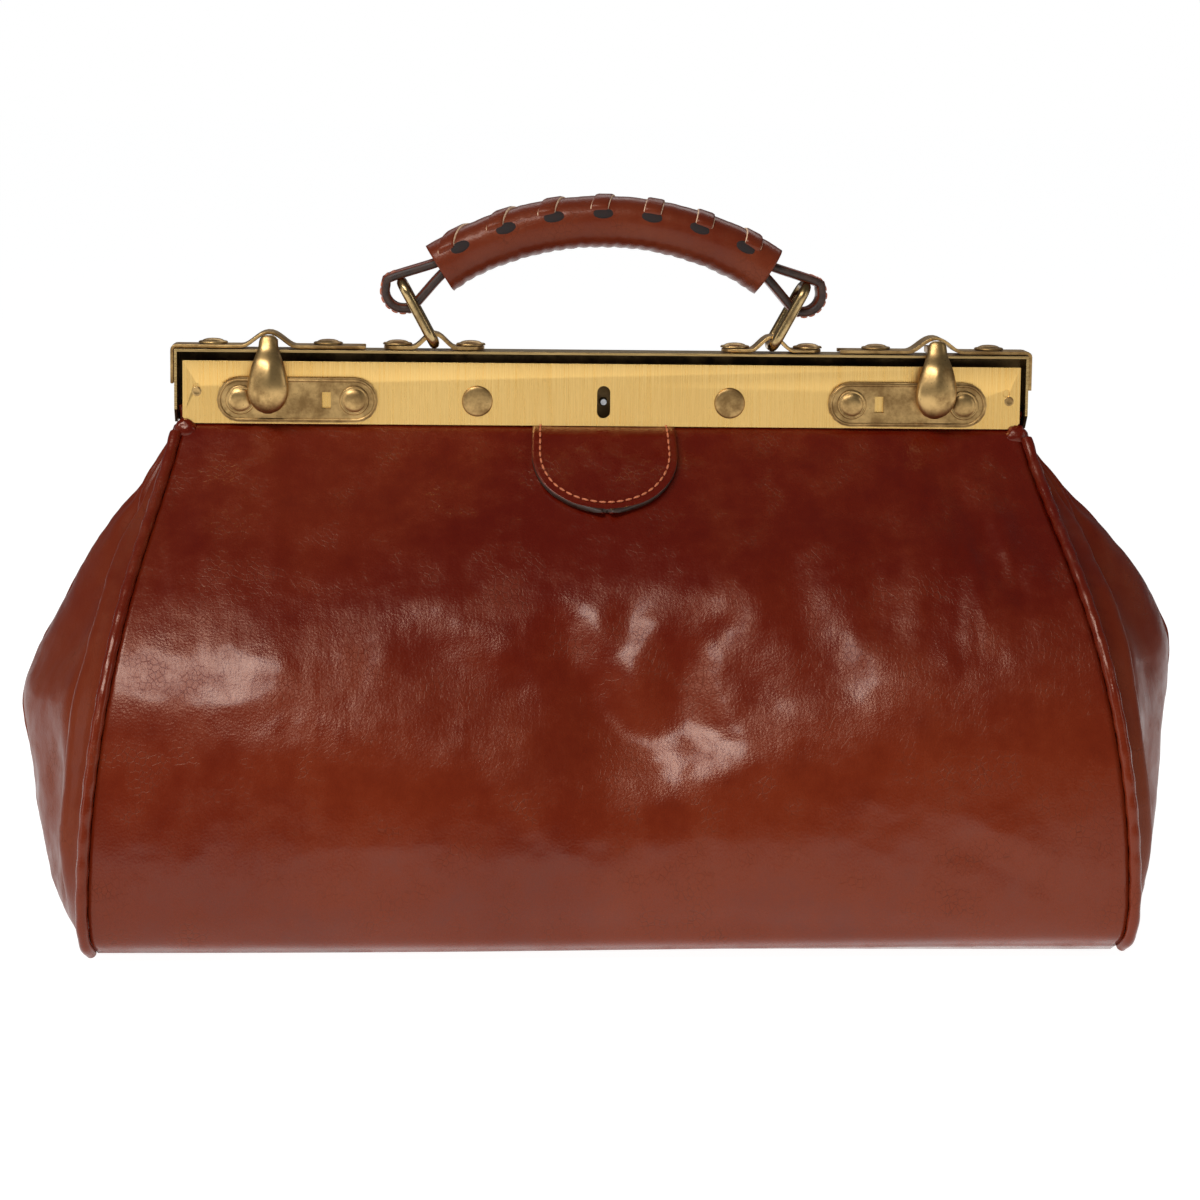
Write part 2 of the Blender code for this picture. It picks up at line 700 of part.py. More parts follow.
# ---------------------------------------------------------------- rear half of the frame
def rear_shell_piece():
    """The rear plate with its top flange and end flanges, a shallow tray open at the front and below."""
    half, top, foot = FRAME_LENGTH / 2, FRAME_TOP, PLATE_FOOT
    wall, lip, over = SHELL_WALL, -SHELL_LIP, 0.0010
    made = add("rear_frame_shell", block_mesh((-half, lip, foot), (half, FRAME_BACK, top)), BRASS)
    hollow = block_mesh((-half + wall, 2 * lip, foot - DRILL), (half - wall, FRAME_BACK - METAL, top - wall))
    boolean(made, add_cutter("rear_shell_hollow", hollow))
    for word, side in SIDES:
        nick = [(lip - over, foot - over), (lip + SHELL_NICK, foot - over), (lip - over, foot + SHELL_NICK)]
        cut = outline_mesh([nick], DRILL, "YZ", (side * half, 0, 0))
        boolean(made, add_cutter(f"{word}_nick", cut))
    holes = [
        ((side * x, STRAP_MIDDLE_Y, top), HOLE_RADIUS, DRILL, "Z")
        for _, side in SIDES
        for x in (*TOP_RIVETS_X, BRACKET_X - BRACKET_RIVET_OFFSET, BRACKET_X + BRACKET_RIVET_OFFSET)
    ]
    cut_holes(made, "top_flange_holes", holes)
    return made


rear_frame_shell = rear_shell_piece()


def hump(x, centre, half, rise):
    """How high a strap's hump stands at x."""
    away = abs(x - centre) / half
    return rise * math.cos(away * math.pi / 2) ** 2 if away < 1 else 0.0


def top_strap(word, side):
    """A strap that runs along the top, over the catch's hinge, and down over the frame's end."""
    low, end = STRAP_TOP, FRAME_LENGTH / 2 + GAP
    bend, step = 0.0008, 0.0012
    along = [STRAP_END_X + step * k for k in range(int((end - bend - STRAP_END_X) / step) + 1)]
    under = [(x, low + hump(x, CATCH_X, CATCH_HUMP_HALF, HUMP_RISE)) for x in along]
    under += arc((end - bend, low - bend), bend, 67.5, 0, 3)
    under += [(end, FRAME_TOP - STRAP_DROP / 2), (end, FRAME_TOP - STRAP_DROP)]
    outline = [(side * x, z) for x, z in strip_outline(under, METAL)]
    made = add(
        f"{word}_top_strap", outline_mesh([outline], STRAP_DEPTH, "XZ", (0, STRAP_MIDDLE_Y, 0)), OLD_BRASS
    )
    tail = side * STRAP_END_X
    spread_out = 0.37 * STRAP_DEPTH
    notch = [
        (tail - side * 0.001, STRAP_MIDDLE_Y - spread_out),
        (tail + side * FISHTAIL, STRAP_MIDDLE_Y),
        (tail - side * 0.001, STRAP_MIDDLE_Y + spread_out),
    ]
    tail_cutter = add_cutter(f"{word}_fishtail", outline_mesh([notch], DRILL, "XY", (0, 0, low)))
    boolean(made, tail_cutter, solver="MANIFOLD")
    cut_holes(
        made,
        f"{word}_top_strap_holes",
        [((side * x, STRAP_MIDDLE_Y, low), HOLE_RADIUS, DRILL, "Z") for x in TOP_RIVETS_X],
    )
    return made


top_straps = [top_strap(word, side) for word, side in SIDES]
top_strap_rivets = [
    rivet(
        f"top_strap_rivet_{word}_{place}",
        (side * x, STRAP_MIDDLE_Y, STRAP_TOP + METAL + GAP),
        (0, 0, 1),
        METAL + GAP * 2 + 0.0010,
    )
    for word, side in SIDES
    for place, x in zip(("inner", "outer"), TOP_RIVETS_X)
]


def ring_bracket(word, side):
    """A short strap with round ends whose hump is the bearing of a handle ring."""
    centre = side * BRACKET_X
    steps = 30
    along = [centre - BRACKET_HALF + 2 * BRACKET_HALF * k / steps for k in range(steps + 1)]
    under = [(x, STRAP_TOP + hump(x, centre, RING_HUMP_HALF, HUMP_RISE)) for x in along]
    mesh = outline_mesh([strip_outline(under, METAL)], STRAP_DEPTH, "XZ", (0, STRAP_MIDDLE_Y, 0))
    made = add(f"{word}_ring_bracket", mesh, OLD_BRASS)
    ends = stadium((centre, STRAP_MIDDLE_Y), 2 * BRACKET_HALF - 0.0004, STRAP_DEPTH - 0.0002)
    trim = outline_mesh([ends], 0.03, "XY", (0, 0, STRAP_TOP))
    boolean(made, add_cutter(f"{word}_bracket_ends", trim), "INTERSECT")
    cut_holes(
        made,
        f"{word}_bracket_holes",
        [
            ((centre + end * BRACKET_RIVET_OFFSET, STRAP_MIDDLE_Y, STRAP_TOP), HOLE_RADIUS, DRILL, "Z")
            for end in (-1, 1)
        ],
    )
    return made


ring_brackets = [ring_bracket(word, side) for word, side in SIDES]
bracket_rivets = [
    rivet(
        f"bracket_rivet_{word}_{place}",
        (side * (BRACKET_X + end * BRACKET_RIVET_OFFSET), STRAP_MIDDLE_Y, STRAP_TOP + METAL + GAP),
        (0, 0, 1),
        METAL + GAP * 2 + 0.0010,
    )
    for word, side in SIDES
    for place, end in (("inner", -1), ("outer", 1))
]


def lock_striker_piece():
    """An angle on the rear clamp whose eye takes the bolt."""
    back = -CLAMP_BACK - GAP
    made = add("lock_striker", block_mesh((0.0570, back - 0.0010, 0.1790), (0.0700, back, 0.1900)), STEEL)
    leg = block_mesh((0.0585, -0.0030, 0.1790), (0.0601, back - 0.0002, 0.1900))
    boolean(made, add_cutter("striker_leg", leg), "UNION")
    eye = block_mesh(
        (0.0560, BOLT_Y[0] - 0.0004, BOLT_Z[0] - 0.0004),
        (0.0630, BOLT_Y[1] + 0.0004, BOLT_Z[1] + 0.0004),
    )
    boolean(made, add_cutter("striker_eye", eye))
    return made


lock_striker = lock_striker_piece()


def catch_hinge(word, side):
    """A block held under a strap's hump, with a tongue that stands out in front to carry the lever."""
    x = side * CATCH_X
    front, low = CATCH_PIN.y, STRAP_TOP + GAP
    block = block_mesh((x - 0.0030, -0.0048, low), (x + 0.0030, 0.0045, low + 0.0024))
    made = add(f"{word}_catch_hinge", block, OLD_BRASS)
    tongue = arc((front, CATCH_PIN.z), TONGUE_RADIUS, 90, 270, 8)
    tongue += [(-0.0040, low + 0.0004), (-0.0040, low + 0.0026), (-0.0058, CATCH_PIN.z + TONGUE_RADIUS)]
    tongue_mesh = outline_mesh([tongue], 0.0020, "YZ", (x, 0, 0))
    boolean(made, add_cutter(f"{word}_tongue", tongue_mesh), "UNION")
    cut_holes(made, f"{word}_tongue_hole", [((x, front, CATCH_PIN.z), LEVER_EYE_RADIUS, DRILL, "X")])
    return made


catch_hinges = [catch_hinge(word, side) for word, side in SIDES]
catch_pins = [
    add(
        f"{word}_catch_pin",
        rod_mesh((side * CATCH_X, CATCH_PIN.y, CATCH_PIN.z), LEVER_PIN_RADIUS, 0.0058, "X", 12),
        STEEL,
    )
    for word, side in SIDES
]


# ---------------------------------------------------------------- catches, rings and handle
def lever(word, side):
    """A drop-shaped lever: a forked eye on the pin, a thick rounded body and a nib for the window."""
    x, pin = side * CATCH_X, CATCH_PIN
    # Each level: (height over the pin, half width, half depth, how far the middle stands forward).
    levels = (
        (0.0020, 0.0019, 0.0012, 0.0000),
        (0.0014, 0.0028, 0.0017, 0.0000),
        (0.0000, 0.0032, 0.0021, 0.0000),
        (-0.0030, 0.0038, 0.0023, 0.0012),
        (-0.0070, 0.0052, 0.0026, 0.0040),
        (-0.0120, 0.0066, 0.0029, 0.0053),
        (-0.0170, 0.0072, 0.0031, 0.0058),
        (-0.0210, 0.0064, 0.0028, 0.0055),
        (-0.0240, 0.0042, 0.0020, 0.0050),
        (-0.0255, 0.0014, 0.0008, 0.0046),
    )
    around = 14
    verts = []
    for height, half_width, half_depth, forward in levels:
        for k in range(around):
            t = 2 * math.pi * k / around
            out = pin.y - forward - half_depth * math.cos(t)
            verts.append((x + half_width * math.sin(t), out, pin.z + height))
    faces = []
    for r in range(len(levels) - 1):
        for k in range(around):
            a, b = r * around + k, r * around + (k + 1) % around
            faces.append((a, a + around, b + around, b))
    faces.append(tuple(range(around)))
    last = (len(levels) - 1) * around
    faces.append(tuple(range(last, last + around))[::-1])
    mesh = bpy.data.meshes.new(f"{word}_catch_lever")
    mesh.from_pydata(verts, [], faces)
    shape = bmesh.new()
    shape.from_mesh(mesh)
    bmesh.ops.recalc_face_normals(shape, faces=shape.faces)
    shape.to_mesh(mesh)
    shape.free()
    made = add(f"{word}_catch_lever", mesh, OLD_BRASS)
    fork = block_mesh(
        (x - 0.0013, pin.y - 0.0060, pin.z - 0.0028), (x + 0.0013, pin.y + 0.0040, pin.z + 0.0040)
    )
    boolean(made, add_cutter(f"{word}_fork", fork))
    window_x = side * (CATCH_PLATE_X + WINDOW_OFFSET)
    nib = block_mesh(
        (window_x - 0.0011, -0.0125, PLATE_MIDDLE - 0.0018),
        (window_x + 0.0011, -0.0072, PLATE_MIDDLE + 0.0018),
    )
    boolean(made, add_cutter(f"{word}_nib", nib), "UNION")
    cut_holes(made, f"{word}_eye_hole", [((x, pin.y, pin.z), LEVER_EYE_RADIUS, DRILL, "X")])
    return made


levers = [lever(word, side) for word, side in SIDES]


def ring_points(side):
    """A rectangular wire ring with round corners, leaning outwards from its bar in the bracket."""
    r, w, length = RING_CORNER, RING_HALF_WIDTH, RING_LENGTH
    flat = []
    for k, (cy, cz) in enumerate(((w - r, r), (w - r, length - r), (-w + r, length - r), (-w + r, r))):
        flat += arc((cy, cz), r, 90 * k - 90, 90 * k, 4)
    tilt = Matrix.Rotation(side * RING_TILT, 3, "Y")
    foot = Vector((side * BRACKET_X, STRAP_MIDDLE_Y, RING_FOOT_Z))
    return [foot + tilt @ Vector((0, y, z)) for y, z in flat]


rings = [wire(f"{word}_ring", ring_points(side), RING_WIRE, OLD_BRASS, cyclic=True) for word, side in SIDES]



def on_arc(angle, lift):
    """A point this far outside the handle's arc, the angle from straight up."""
    r = HANDLE_RADIUS + lift
    return (r * math.sin(angle), HANDLE_MIDDLE_Z - HANDLE_RADIUS + r * math.cos(angle))


def spread(half_angle, steps):
    return [-half_angle + 2 * half_angle * k / steps for k in range(steps + 1)]


def handle_strap_piece():
    """The strap of the handle: two plies through the grip that part at each end round a ring."""
    top, under = STRAP_LIFT, STRAP_LIFT - HANDLE_STRAP_THICKNESS
    angles = spread(GRIP_HALF_ANGLE, 16)
    outer = [on_arc(a, top) for a in angles]
    loop_out = arc((LOOP_X, LOOP_Z), LOOP_HOLE + LOOP_WALL, 52, -118, 14)
    outer += loop_out
    outer += [on_arc(a, under) for a in angles[::-1]]
    outer += [(-x, z) for x, z in loop_out[::-1]]
    inner_end = on_arc(GRIP_HALF_ANGLE - 0.03, (top + under) / 2)
    hole = arc((LOOP_X, LOOP_Z), LOOP_HOLE, 56, -128, 14)
    hole += [(inner_end[0] + 0.0020, inner_end[1] - 0.0012)]
    left_hole = [(-x, z) for x, z in hole]
    mesh = outline_mesh([outer, hole, left_hole], HANDLE_STRAP_WIDTH, "XZ", (0, STRAP_MIDDLE_Y, 0))
    return add("handle_strap", mesh, GRIP_HIDE)


handle_strap = handle_strap_piece()


def swept(name, section, angles, finish):
    """A closed section, as points of depth and lift, carried along the handle's arc."""
    around = len(section)
    verts, faces = [], []
    for angle in angles:
        for depth, lift in section:
            x, z = on_arc(angle, lift)
            verts.append((x, STRAP_MIDDLE_Y + depth, z))
    for r in range(len(angles) - 1):
        for k in range(around):
            a, b = r * around + k, r * around + (k + 1) % around
            faces.append((a, b, b + around, a + around))
    last = (len(angles) - 1) * around
    faces.append(tuple(range(around))[::-1])
    faces.append(tuple(range(last, last + around)))
    mesh = bpy.data.meshes.new(name)
    mesh.from_pydata(verts, [], faces)
    shape = bmesh.new()
    shape.from_mesh(mesh)
    bmesh.ops.recalc_face_normals(shape, faces=shape.faces)
    shape.to_mesh(mesh)
    shape.free()
    return add(name, mesh, finish)


core_section = arc((0, STRAP_LIFT - HANDLE_STRAP_THICKNESS - GAP), CORE_RADIUS, 180, 360, 8)
handle_core = swept("handle_core", core_section, spread(GRIP_HALF_ANGLE - 0.05, 14), PADDING)


def cover_section():
    """A C-shaped section, open along the top where the lace closes it."""
    half_w, half_h = GRIP_WIDTH / 2, GRIP_HEIGHT / 2
    gap = math.degrees(math.asin(COVER_SLIT / half_w))
    turns = [math.radians(90 + gap + (360 - 2 * gap) * k / 16) for k in range(17)]
    outer = [(half_w * math.cos(t), COVER_LIFT + half_h * math.sin(t)) for t in turns]
    thin_w, thin_h = half_w - COVER_WALL, half_h - COVER_WALL
    inner = [(thin_w * math.cos(t), COVER_LIFT + thin_h * math.sin(t)) for t in turns]
    return outer + inner[::-1]


handle_cover = swept("handle_cover", cover_section(), spread(GRIP_HALF_ANGLE, 12), GRIP_HIDE)


def handle_lace_piece():
    """A flat lace: a run along the slit with a band across it at each pair of slots."""
    top, half = COVER_LIFT + GRIP_HEIGHT / 2, 0.0008
    run_section = [(-half, top - half), (half, top - half), (half, top + half), (-half, top + half)]
    reach = LACE_PITCH * (LACE_BANDS - 1) / 2
    made = swept("handle_lacing", run_section, spread(reach, 12), GRIP_HIDE)
    half_w, half_h = GRIP_WIDTH / 2, GRIP_HEIGHT / 2
    turns = [math.radians(90 - 48 + 96 * k / 6) for k in range(7)]

    def rim(grow):
        return [((half_w + grow) * math.cos(t), COVER_LIFT + (half_h + grow) * math.sin(t)) for t in turns]

    band_section = rim(0.0014) + rim(0.0003)[::-1]
    for k in range(LACE_BANDS):
        middle = (k - (LACE_BANDS - 1) / 2) * LACE_PITCH
        half_band = LACE_BAND_WIDTH / 2 / HANDLE_RADIUS
        band = swept("lace_band", band_section, [middle - half_band, middle, middle + half_band], GRIP_HIDE)
        parts.objects.unlink(band)
        band.name = f"lace_band_{k}"
        band.hide_render = True
        band.display_type = "WIRE"
        cutters.objects.link(band)
        boolean(made, band, "UNION")
    return made


handle_lacing = handle_lace_piece()


# ---------------------------------------------------------------- what moves together
def body(name, pivot, pieces):
    """Parents pieces to an empty that stands on their joint's axis, without moving them."""
    axis = bpy.data.objects.new(f"{name}_pivot", None)
    axis.location = pivot
    axis.empty_display_size = 0.01
    parts.objects.link(axis)
    for piece in pieces:
        piece.parent = axis
        piece.matrix_parent_inverse = Matrix.Translation(-Vector(pivot))
    return axis


hinge_line = (0, 0, HINGE_HEIGHT)
body(
    "front_frame",
    hinge_line,
    [front_plate, front_clamp_strip, lock_case, lock_post, lock_tab]
    + front_arms + catch_plates + catch_plate_rivets + lock_rivets,
)
body(
    "rear_frame",
    hinge_line,
    [rear_frame_shell, rear_clamp_strip, lock_striker]
    + rear_arms + hinge_rivets + top_straps + top_strap_rivets + ring_brackets + bracket_rivets
    + catch_hinges + catch_pins,
)
body("lock_bolt", (BOLT_X[0], 0, PLATE_MIDDLE), [lock_bolt])
for (word, side), piece in zip(SIDES, levers):
    body(f"{word}_catch", (side * CATCH_X, CATCH_PIN.y, CATCH_PIN.z), [piece])
for (word, side), piece in zip(SIDES, rings):
    body(f"{word}_ring", (side * BRACKET_X, STRAP_MIDDLE_Y, RING_FOOT_Z), [piece])
ring_grip = (-RING_TOP_X, STRAP_MIDDLE_Y, RING_TOP_Z)
body("handle", ring_grip, [handle_strap, handle_core, handle_cover, handle_lacing])
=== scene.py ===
# %% [markdown]
# # A leather doctor bag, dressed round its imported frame
#
# A doctor bag is a soft leather body hung in a stiff brass mouth. The metal must stay exactly where the
# joints need it, while the leather is free to sag, dent and crease. So the metal below is the packed
# metal with softened edges, and the leather is made new: one skin for each cut panel.
#
# Everything is in metres, with +Z up, and the front of the bag faces -Y.

# %% Load the frame
import json
import math

import bmesh
import bpy
import numpy as np
from mathutils import Matrix, Vector, noise

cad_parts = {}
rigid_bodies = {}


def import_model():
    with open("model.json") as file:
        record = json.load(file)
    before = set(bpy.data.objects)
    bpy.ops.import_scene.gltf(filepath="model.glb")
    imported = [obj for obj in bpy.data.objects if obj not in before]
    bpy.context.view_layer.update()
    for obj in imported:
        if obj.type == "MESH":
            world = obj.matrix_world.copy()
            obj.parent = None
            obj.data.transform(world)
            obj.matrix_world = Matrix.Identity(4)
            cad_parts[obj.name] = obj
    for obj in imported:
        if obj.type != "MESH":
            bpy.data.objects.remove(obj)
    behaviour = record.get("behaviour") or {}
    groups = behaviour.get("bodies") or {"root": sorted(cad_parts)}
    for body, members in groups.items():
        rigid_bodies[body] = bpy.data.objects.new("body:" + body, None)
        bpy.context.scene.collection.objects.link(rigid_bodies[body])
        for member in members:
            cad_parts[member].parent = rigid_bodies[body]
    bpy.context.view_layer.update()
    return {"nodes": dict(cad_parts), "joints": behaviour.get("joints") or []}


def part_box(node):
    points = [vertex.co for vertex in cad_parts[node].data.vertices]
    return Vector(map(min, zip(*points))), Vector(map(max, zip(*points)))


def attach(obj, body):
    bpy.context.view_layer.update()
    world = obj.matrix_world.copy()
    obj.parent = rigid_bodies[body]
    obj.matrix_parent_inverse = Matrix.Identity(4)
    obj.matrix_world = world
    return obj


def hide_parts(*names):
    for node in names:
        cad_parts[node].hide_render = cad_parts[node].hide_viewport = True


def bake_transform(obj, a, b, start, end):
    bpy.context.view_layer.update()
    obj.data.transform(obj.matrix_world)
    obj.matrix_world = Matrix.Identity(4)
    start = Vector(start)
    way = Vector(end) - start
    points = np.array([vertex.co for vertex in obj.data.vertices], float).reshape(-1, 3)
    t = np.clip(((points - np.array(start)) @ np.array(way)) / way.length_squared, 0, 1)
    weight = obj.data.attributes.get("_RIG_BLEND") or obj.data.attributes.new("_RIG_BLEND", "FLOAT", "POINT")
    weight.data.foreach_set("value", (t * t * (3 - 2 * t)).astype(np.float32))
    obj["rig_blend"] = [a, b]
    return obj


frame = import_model()

# %% [markdown]
# The mouth of the bag sets every other size. The plate, the frame's shell and the hinge line are read
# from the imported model, so the leather meets the brass wherever the brass is.

# %% Measure the frame
plate_low, plate_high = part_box("front_plate")
joints = {joint["name"]: joint for joint in frame["joints"]}
HINGE_Z = joints["front_frame_open"]["pos_m"][2]
PLATE_FOOT = plate_low.z
FRAME_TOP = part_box("rear_frame_shell")[1].z
SKIN = 0.0014
SIDES = (("left", -1), ("right", 1))
FACES = (("front", -1), ("rear", 1))
print(f"plate foot {PLATE_FOOT:.4f}, frame top {FRAME_TOP:.4f}, hinge {HINGE_Z:.4f}")

# %% [markdown]
# ## Camera, floor and light
#
# A long lens a little over a metre away keeps the frame's edges almost parallel, as in a shop picture.
# Waxed leather is mostly seen by what it reflects, so one large soft source above the shoulder draws the
# bright band along it, and two weaker ones fill the ends.

# %% Camera
VIEW_AZIMUTH, VIEW_ELEVATION, VIEW_ROLL = map(math.radians, (-3.0, 7.8, 0.72))
VIEW_DISTANCE = 1.35
VIEW_WIDTH = 0.435
SENSOR = 36.0


def make_camera():
    data = bpy.data.cameras.new("camera")
    data.sensor_width = SENSOR
    data.lens = SENSOR * VIEW_DISTANCE / VIEW_WIDTH
    camera = bpy.data.objects.new("camera", data)
    bpy.context.scene.collection.objects.link(camera)
    middle = Vector((0, 0, 0.1128))
    across = math.cos(VIEW_ELEVATION)
    back = Vector(
        (math.sin(VIEW_AZIMUTH) * across, -math.cos(VIEW_AZIMUTH) * across, math.sin(VIEW_ELEVATION))
    )
    camera.location = middle + back * VIEW_DISTANCE
    turn = (-back).to_track_quat("-Z", "Y").to_matrix().to_4x4()
    camera.rotation_euler = (turn @ Matrix.Rotation(VIEW_ROLL, 4, "Z")).to_euler()
    bpy.context.scene.camera = camera


make_camera()


# %% Floor and lights
def make_floor():
    """A floor that glows, so that it stays white and lights the bag from below."""
    bpy.ops.mesh.primitive_plane_add(size=60, location=(0, 0, -0.0004))
    floor = bpy.context.object
    floor.name = "floor"
    paint = bpy.data.materials.new("pale_floor")
    paint.use_nodes = True
    shader = paint.node_tree.nodes["Principled BSDF"]
    shader.inputs["Base Color"].default_value = (0.30, 0.30, 0.30, 1)
    shader.inputs["Roughness"].default_value = 1.0
    shader.inputs["Specular IOR Level"].default_value = 0.0
    shader.inputs["Emission Color"].default_value = (1, 1, 1, 1)
    shader.inputs["Emission Strength"].default_value = 0.97
    floor.data.materials.append(paint)


def softbox(name, place, aim, size, power):
    data = bpy.data.lights.new(name, "AREA")
    data.shape = "RECTANGLE"
    data.size, data.size_y = size
    data.energy = power
    light = bpy.data.objects.new(name, data)
    bpy.context.scene.collection.objects.link(light)
    light.location = place
    light.rotation_euler = (Vector(aim) - Vector(place)).to_track_quat("-Z", "Y").to_euler()


def make_room():
    """Pale to look at, but nearly dark in reflections, so that wax and brass keep their depth."""
    world = bpy.data.worlds.new("soft_room")
    world.use_nodes = True
    tree = world.node_tree
    shown = tree.nodes["Background"]
    shown.inputs["Color"].default_value = (1, 1, 1, 1)
    dim = tree.nodes.new("ShaderNodeBackground")
    dim.inputs["Color"].default_value = (0.92, 0.95, 1.0, 1)
    dim.inputs["Strength"].default_value = 0.10
    rays = tree.nodes.new("ShaderNodeLightPath")
    choose = tree.nodes.new("ShaderNodeMixShader")
    tree.links.new(rays.outputs["Is Camera Ray"], choose.inputs["Fac"])
    tree.links.new(dim.outputs["Background"], choose.inputs[1])
    tree.links.new(shown.outputs["Background"], choose.inputs[2])
    tree.links.new(choose.outputs["Shader"], tree.nodes["World Output"].inputs["Surface"])
    bpy.context.scene.world = world


make_floor()
make_room()
softbox("front_high", (-0.62, -0.92, 1.34), (0, 0, 0.10), (1.25, 0.42), 17.0)
softbox("left_wall", (-1.50, -0.60, 0.50), (0, 0, 0.12), (0.40, 0.90), 2.2)
softbox("right_wall", (1.40, -0.70, 0.60), (0, 0, 0.12), (0.30, 0.80), 1.6)
softbox("back_top", (0.10, 1.10, 1.20), (0, 0, 0.15), (1.60, 0.50), 4.0)
bpy.context.scene.view_settings.view_transform = "Standard"

# %% [markdown]
# ## Writing materials as sums
#
# A node tree is easier to read as an expression. `Wire` holds a socket, and adding, subtracting or
# multiplying it makes the Math node for that. Colours are mixed with a Mix node, since a Math node would
# turn them grey.


# %% The shader helper
class Wire:
    """A socket of a material's tree, on which + - * make Math nodes."""

    def __init__(self, kit, socket):
        self.kit = kit
        self.socket = socket

    def math(self, operation, *others):
        inputs = {0: self, **dict(enumerate(others, 1))}
        return self.kit.node("ShaderNodeMath", {"operation": operation}, inputs)

    def __add__(self, other):
        return self.math("ADD", other)

    def __mul__(self, other):
        return self.math("MULTIPLY", other)

    def __sub__(self, other):
        return self.math("SUBTRACT", other)

    def __rsub__(self, other):
        return self.kit.node("ShaderNodeMath", {"operation": "SUBTRACT"}, {0: other, 1: self})

    __radd__ = __add__
    __rmul__ = __mul__


class Kit:
    """One material being made."""

    def __init__(self, name, **constants):
        self.material = bpy.data.materials.new(name)
        self.material.use_nodes = True
        self.tree = self.material.node_tree
        self.shader = self.tree.nodes["Principled BSDF"]
        for socket, value in constants.items():
            self.shader.inputs[socket.replace("_", " ")].default_value = value
        self.place = self.node("ShaderNodeTexCoord", {}, {}, "Object")

    def node(self, kind, settings, inputs, output=0):
        made = self.tree.nodes.new(kind)
        for name, value in settings.items():
            if name == "stops":
                ramp = made.color_ramp
                while len(ramp.elements) < len(value):
                    ramp.elements.new(0.5)
                for stop, (at, colour) in zip(ramp.elements, value):
                    stop.position, stop.color = at, colour
            else:
                setattr(made, name, value)
        for name, value in inputs.items():
            if isinstance(value, Wire):
                self.tree.links.new(value.socket, made.inputs[name])
            else:
                made.inputs[name].default_value = value
        return Wire(self, made.outputs[output])

    def stretched(self, scale):
        return self.node("ShaderNodeMapping", {}, {"Vector": self.place, "Scale": scale})

    def noise(self, scale, detail=2.0, roughness=0.5, stretch=None):
        where = self.stretched(stretch) if stretch else self.place
        inputs = {"Vector": where, "Scale": scale, "Detail": detail, "Roughness": roughness}
        return self.node("ShaderNodeTexNoise", {}, inputs, "Fac")

    def cells(self, scale, feature="F1", stretch=None):
        where = self.stretched(stretch) if stretch else self.place
        inputs = {"Vector": where, "Scale": scale}
        return self.node("ShaderNodeTexVoronoi", {"feature": feature}, inputs, "Distance")

    def span(self, value, low, high, to_low=0.0, to_high=1.0):
        """Maps low..high to to_low..to_high, smoothly and no further."""
        inputs = {"Value": value, 1: low, 2: high, 3: to_low, 4: to_high}
        return self.node("ShaderNodeMapRange", {"interpolation_type": "SMOOTHSTEP"}, inputs)

    def mix(self, share, one, other):
        settings = {"data_type": "RGBA"}
        made = self.node("ShaderNodeMix", settings, {"Factor": share}, 2)
        for name, value in (("A", one), ("B", other)):
            socket = next(s for s in made.socket.node.inputs if s.name == name and s.type == "RGBA")
            if isinstance(value, Wire):
                self.tree.links.new(value.socket, socket)
            else:
                socket.default_value = (*value, 1)
        return made

    def bump(self, height, distance, strength=1.0, under=None):
        inputs = {"Height": height, "Distance": distance, "Strength": strength}
        if under:
            inputs["Normal"] = under
        return self.node("ShaderNodeBump", {}, inputs)

    def finish(self, **links):
        for socket, wire in links.items():
            self.tree.links.new(wire.socket, self.shader.inputs[socket.replace("_", " ")])
        return self.material


print("shader helper ready")
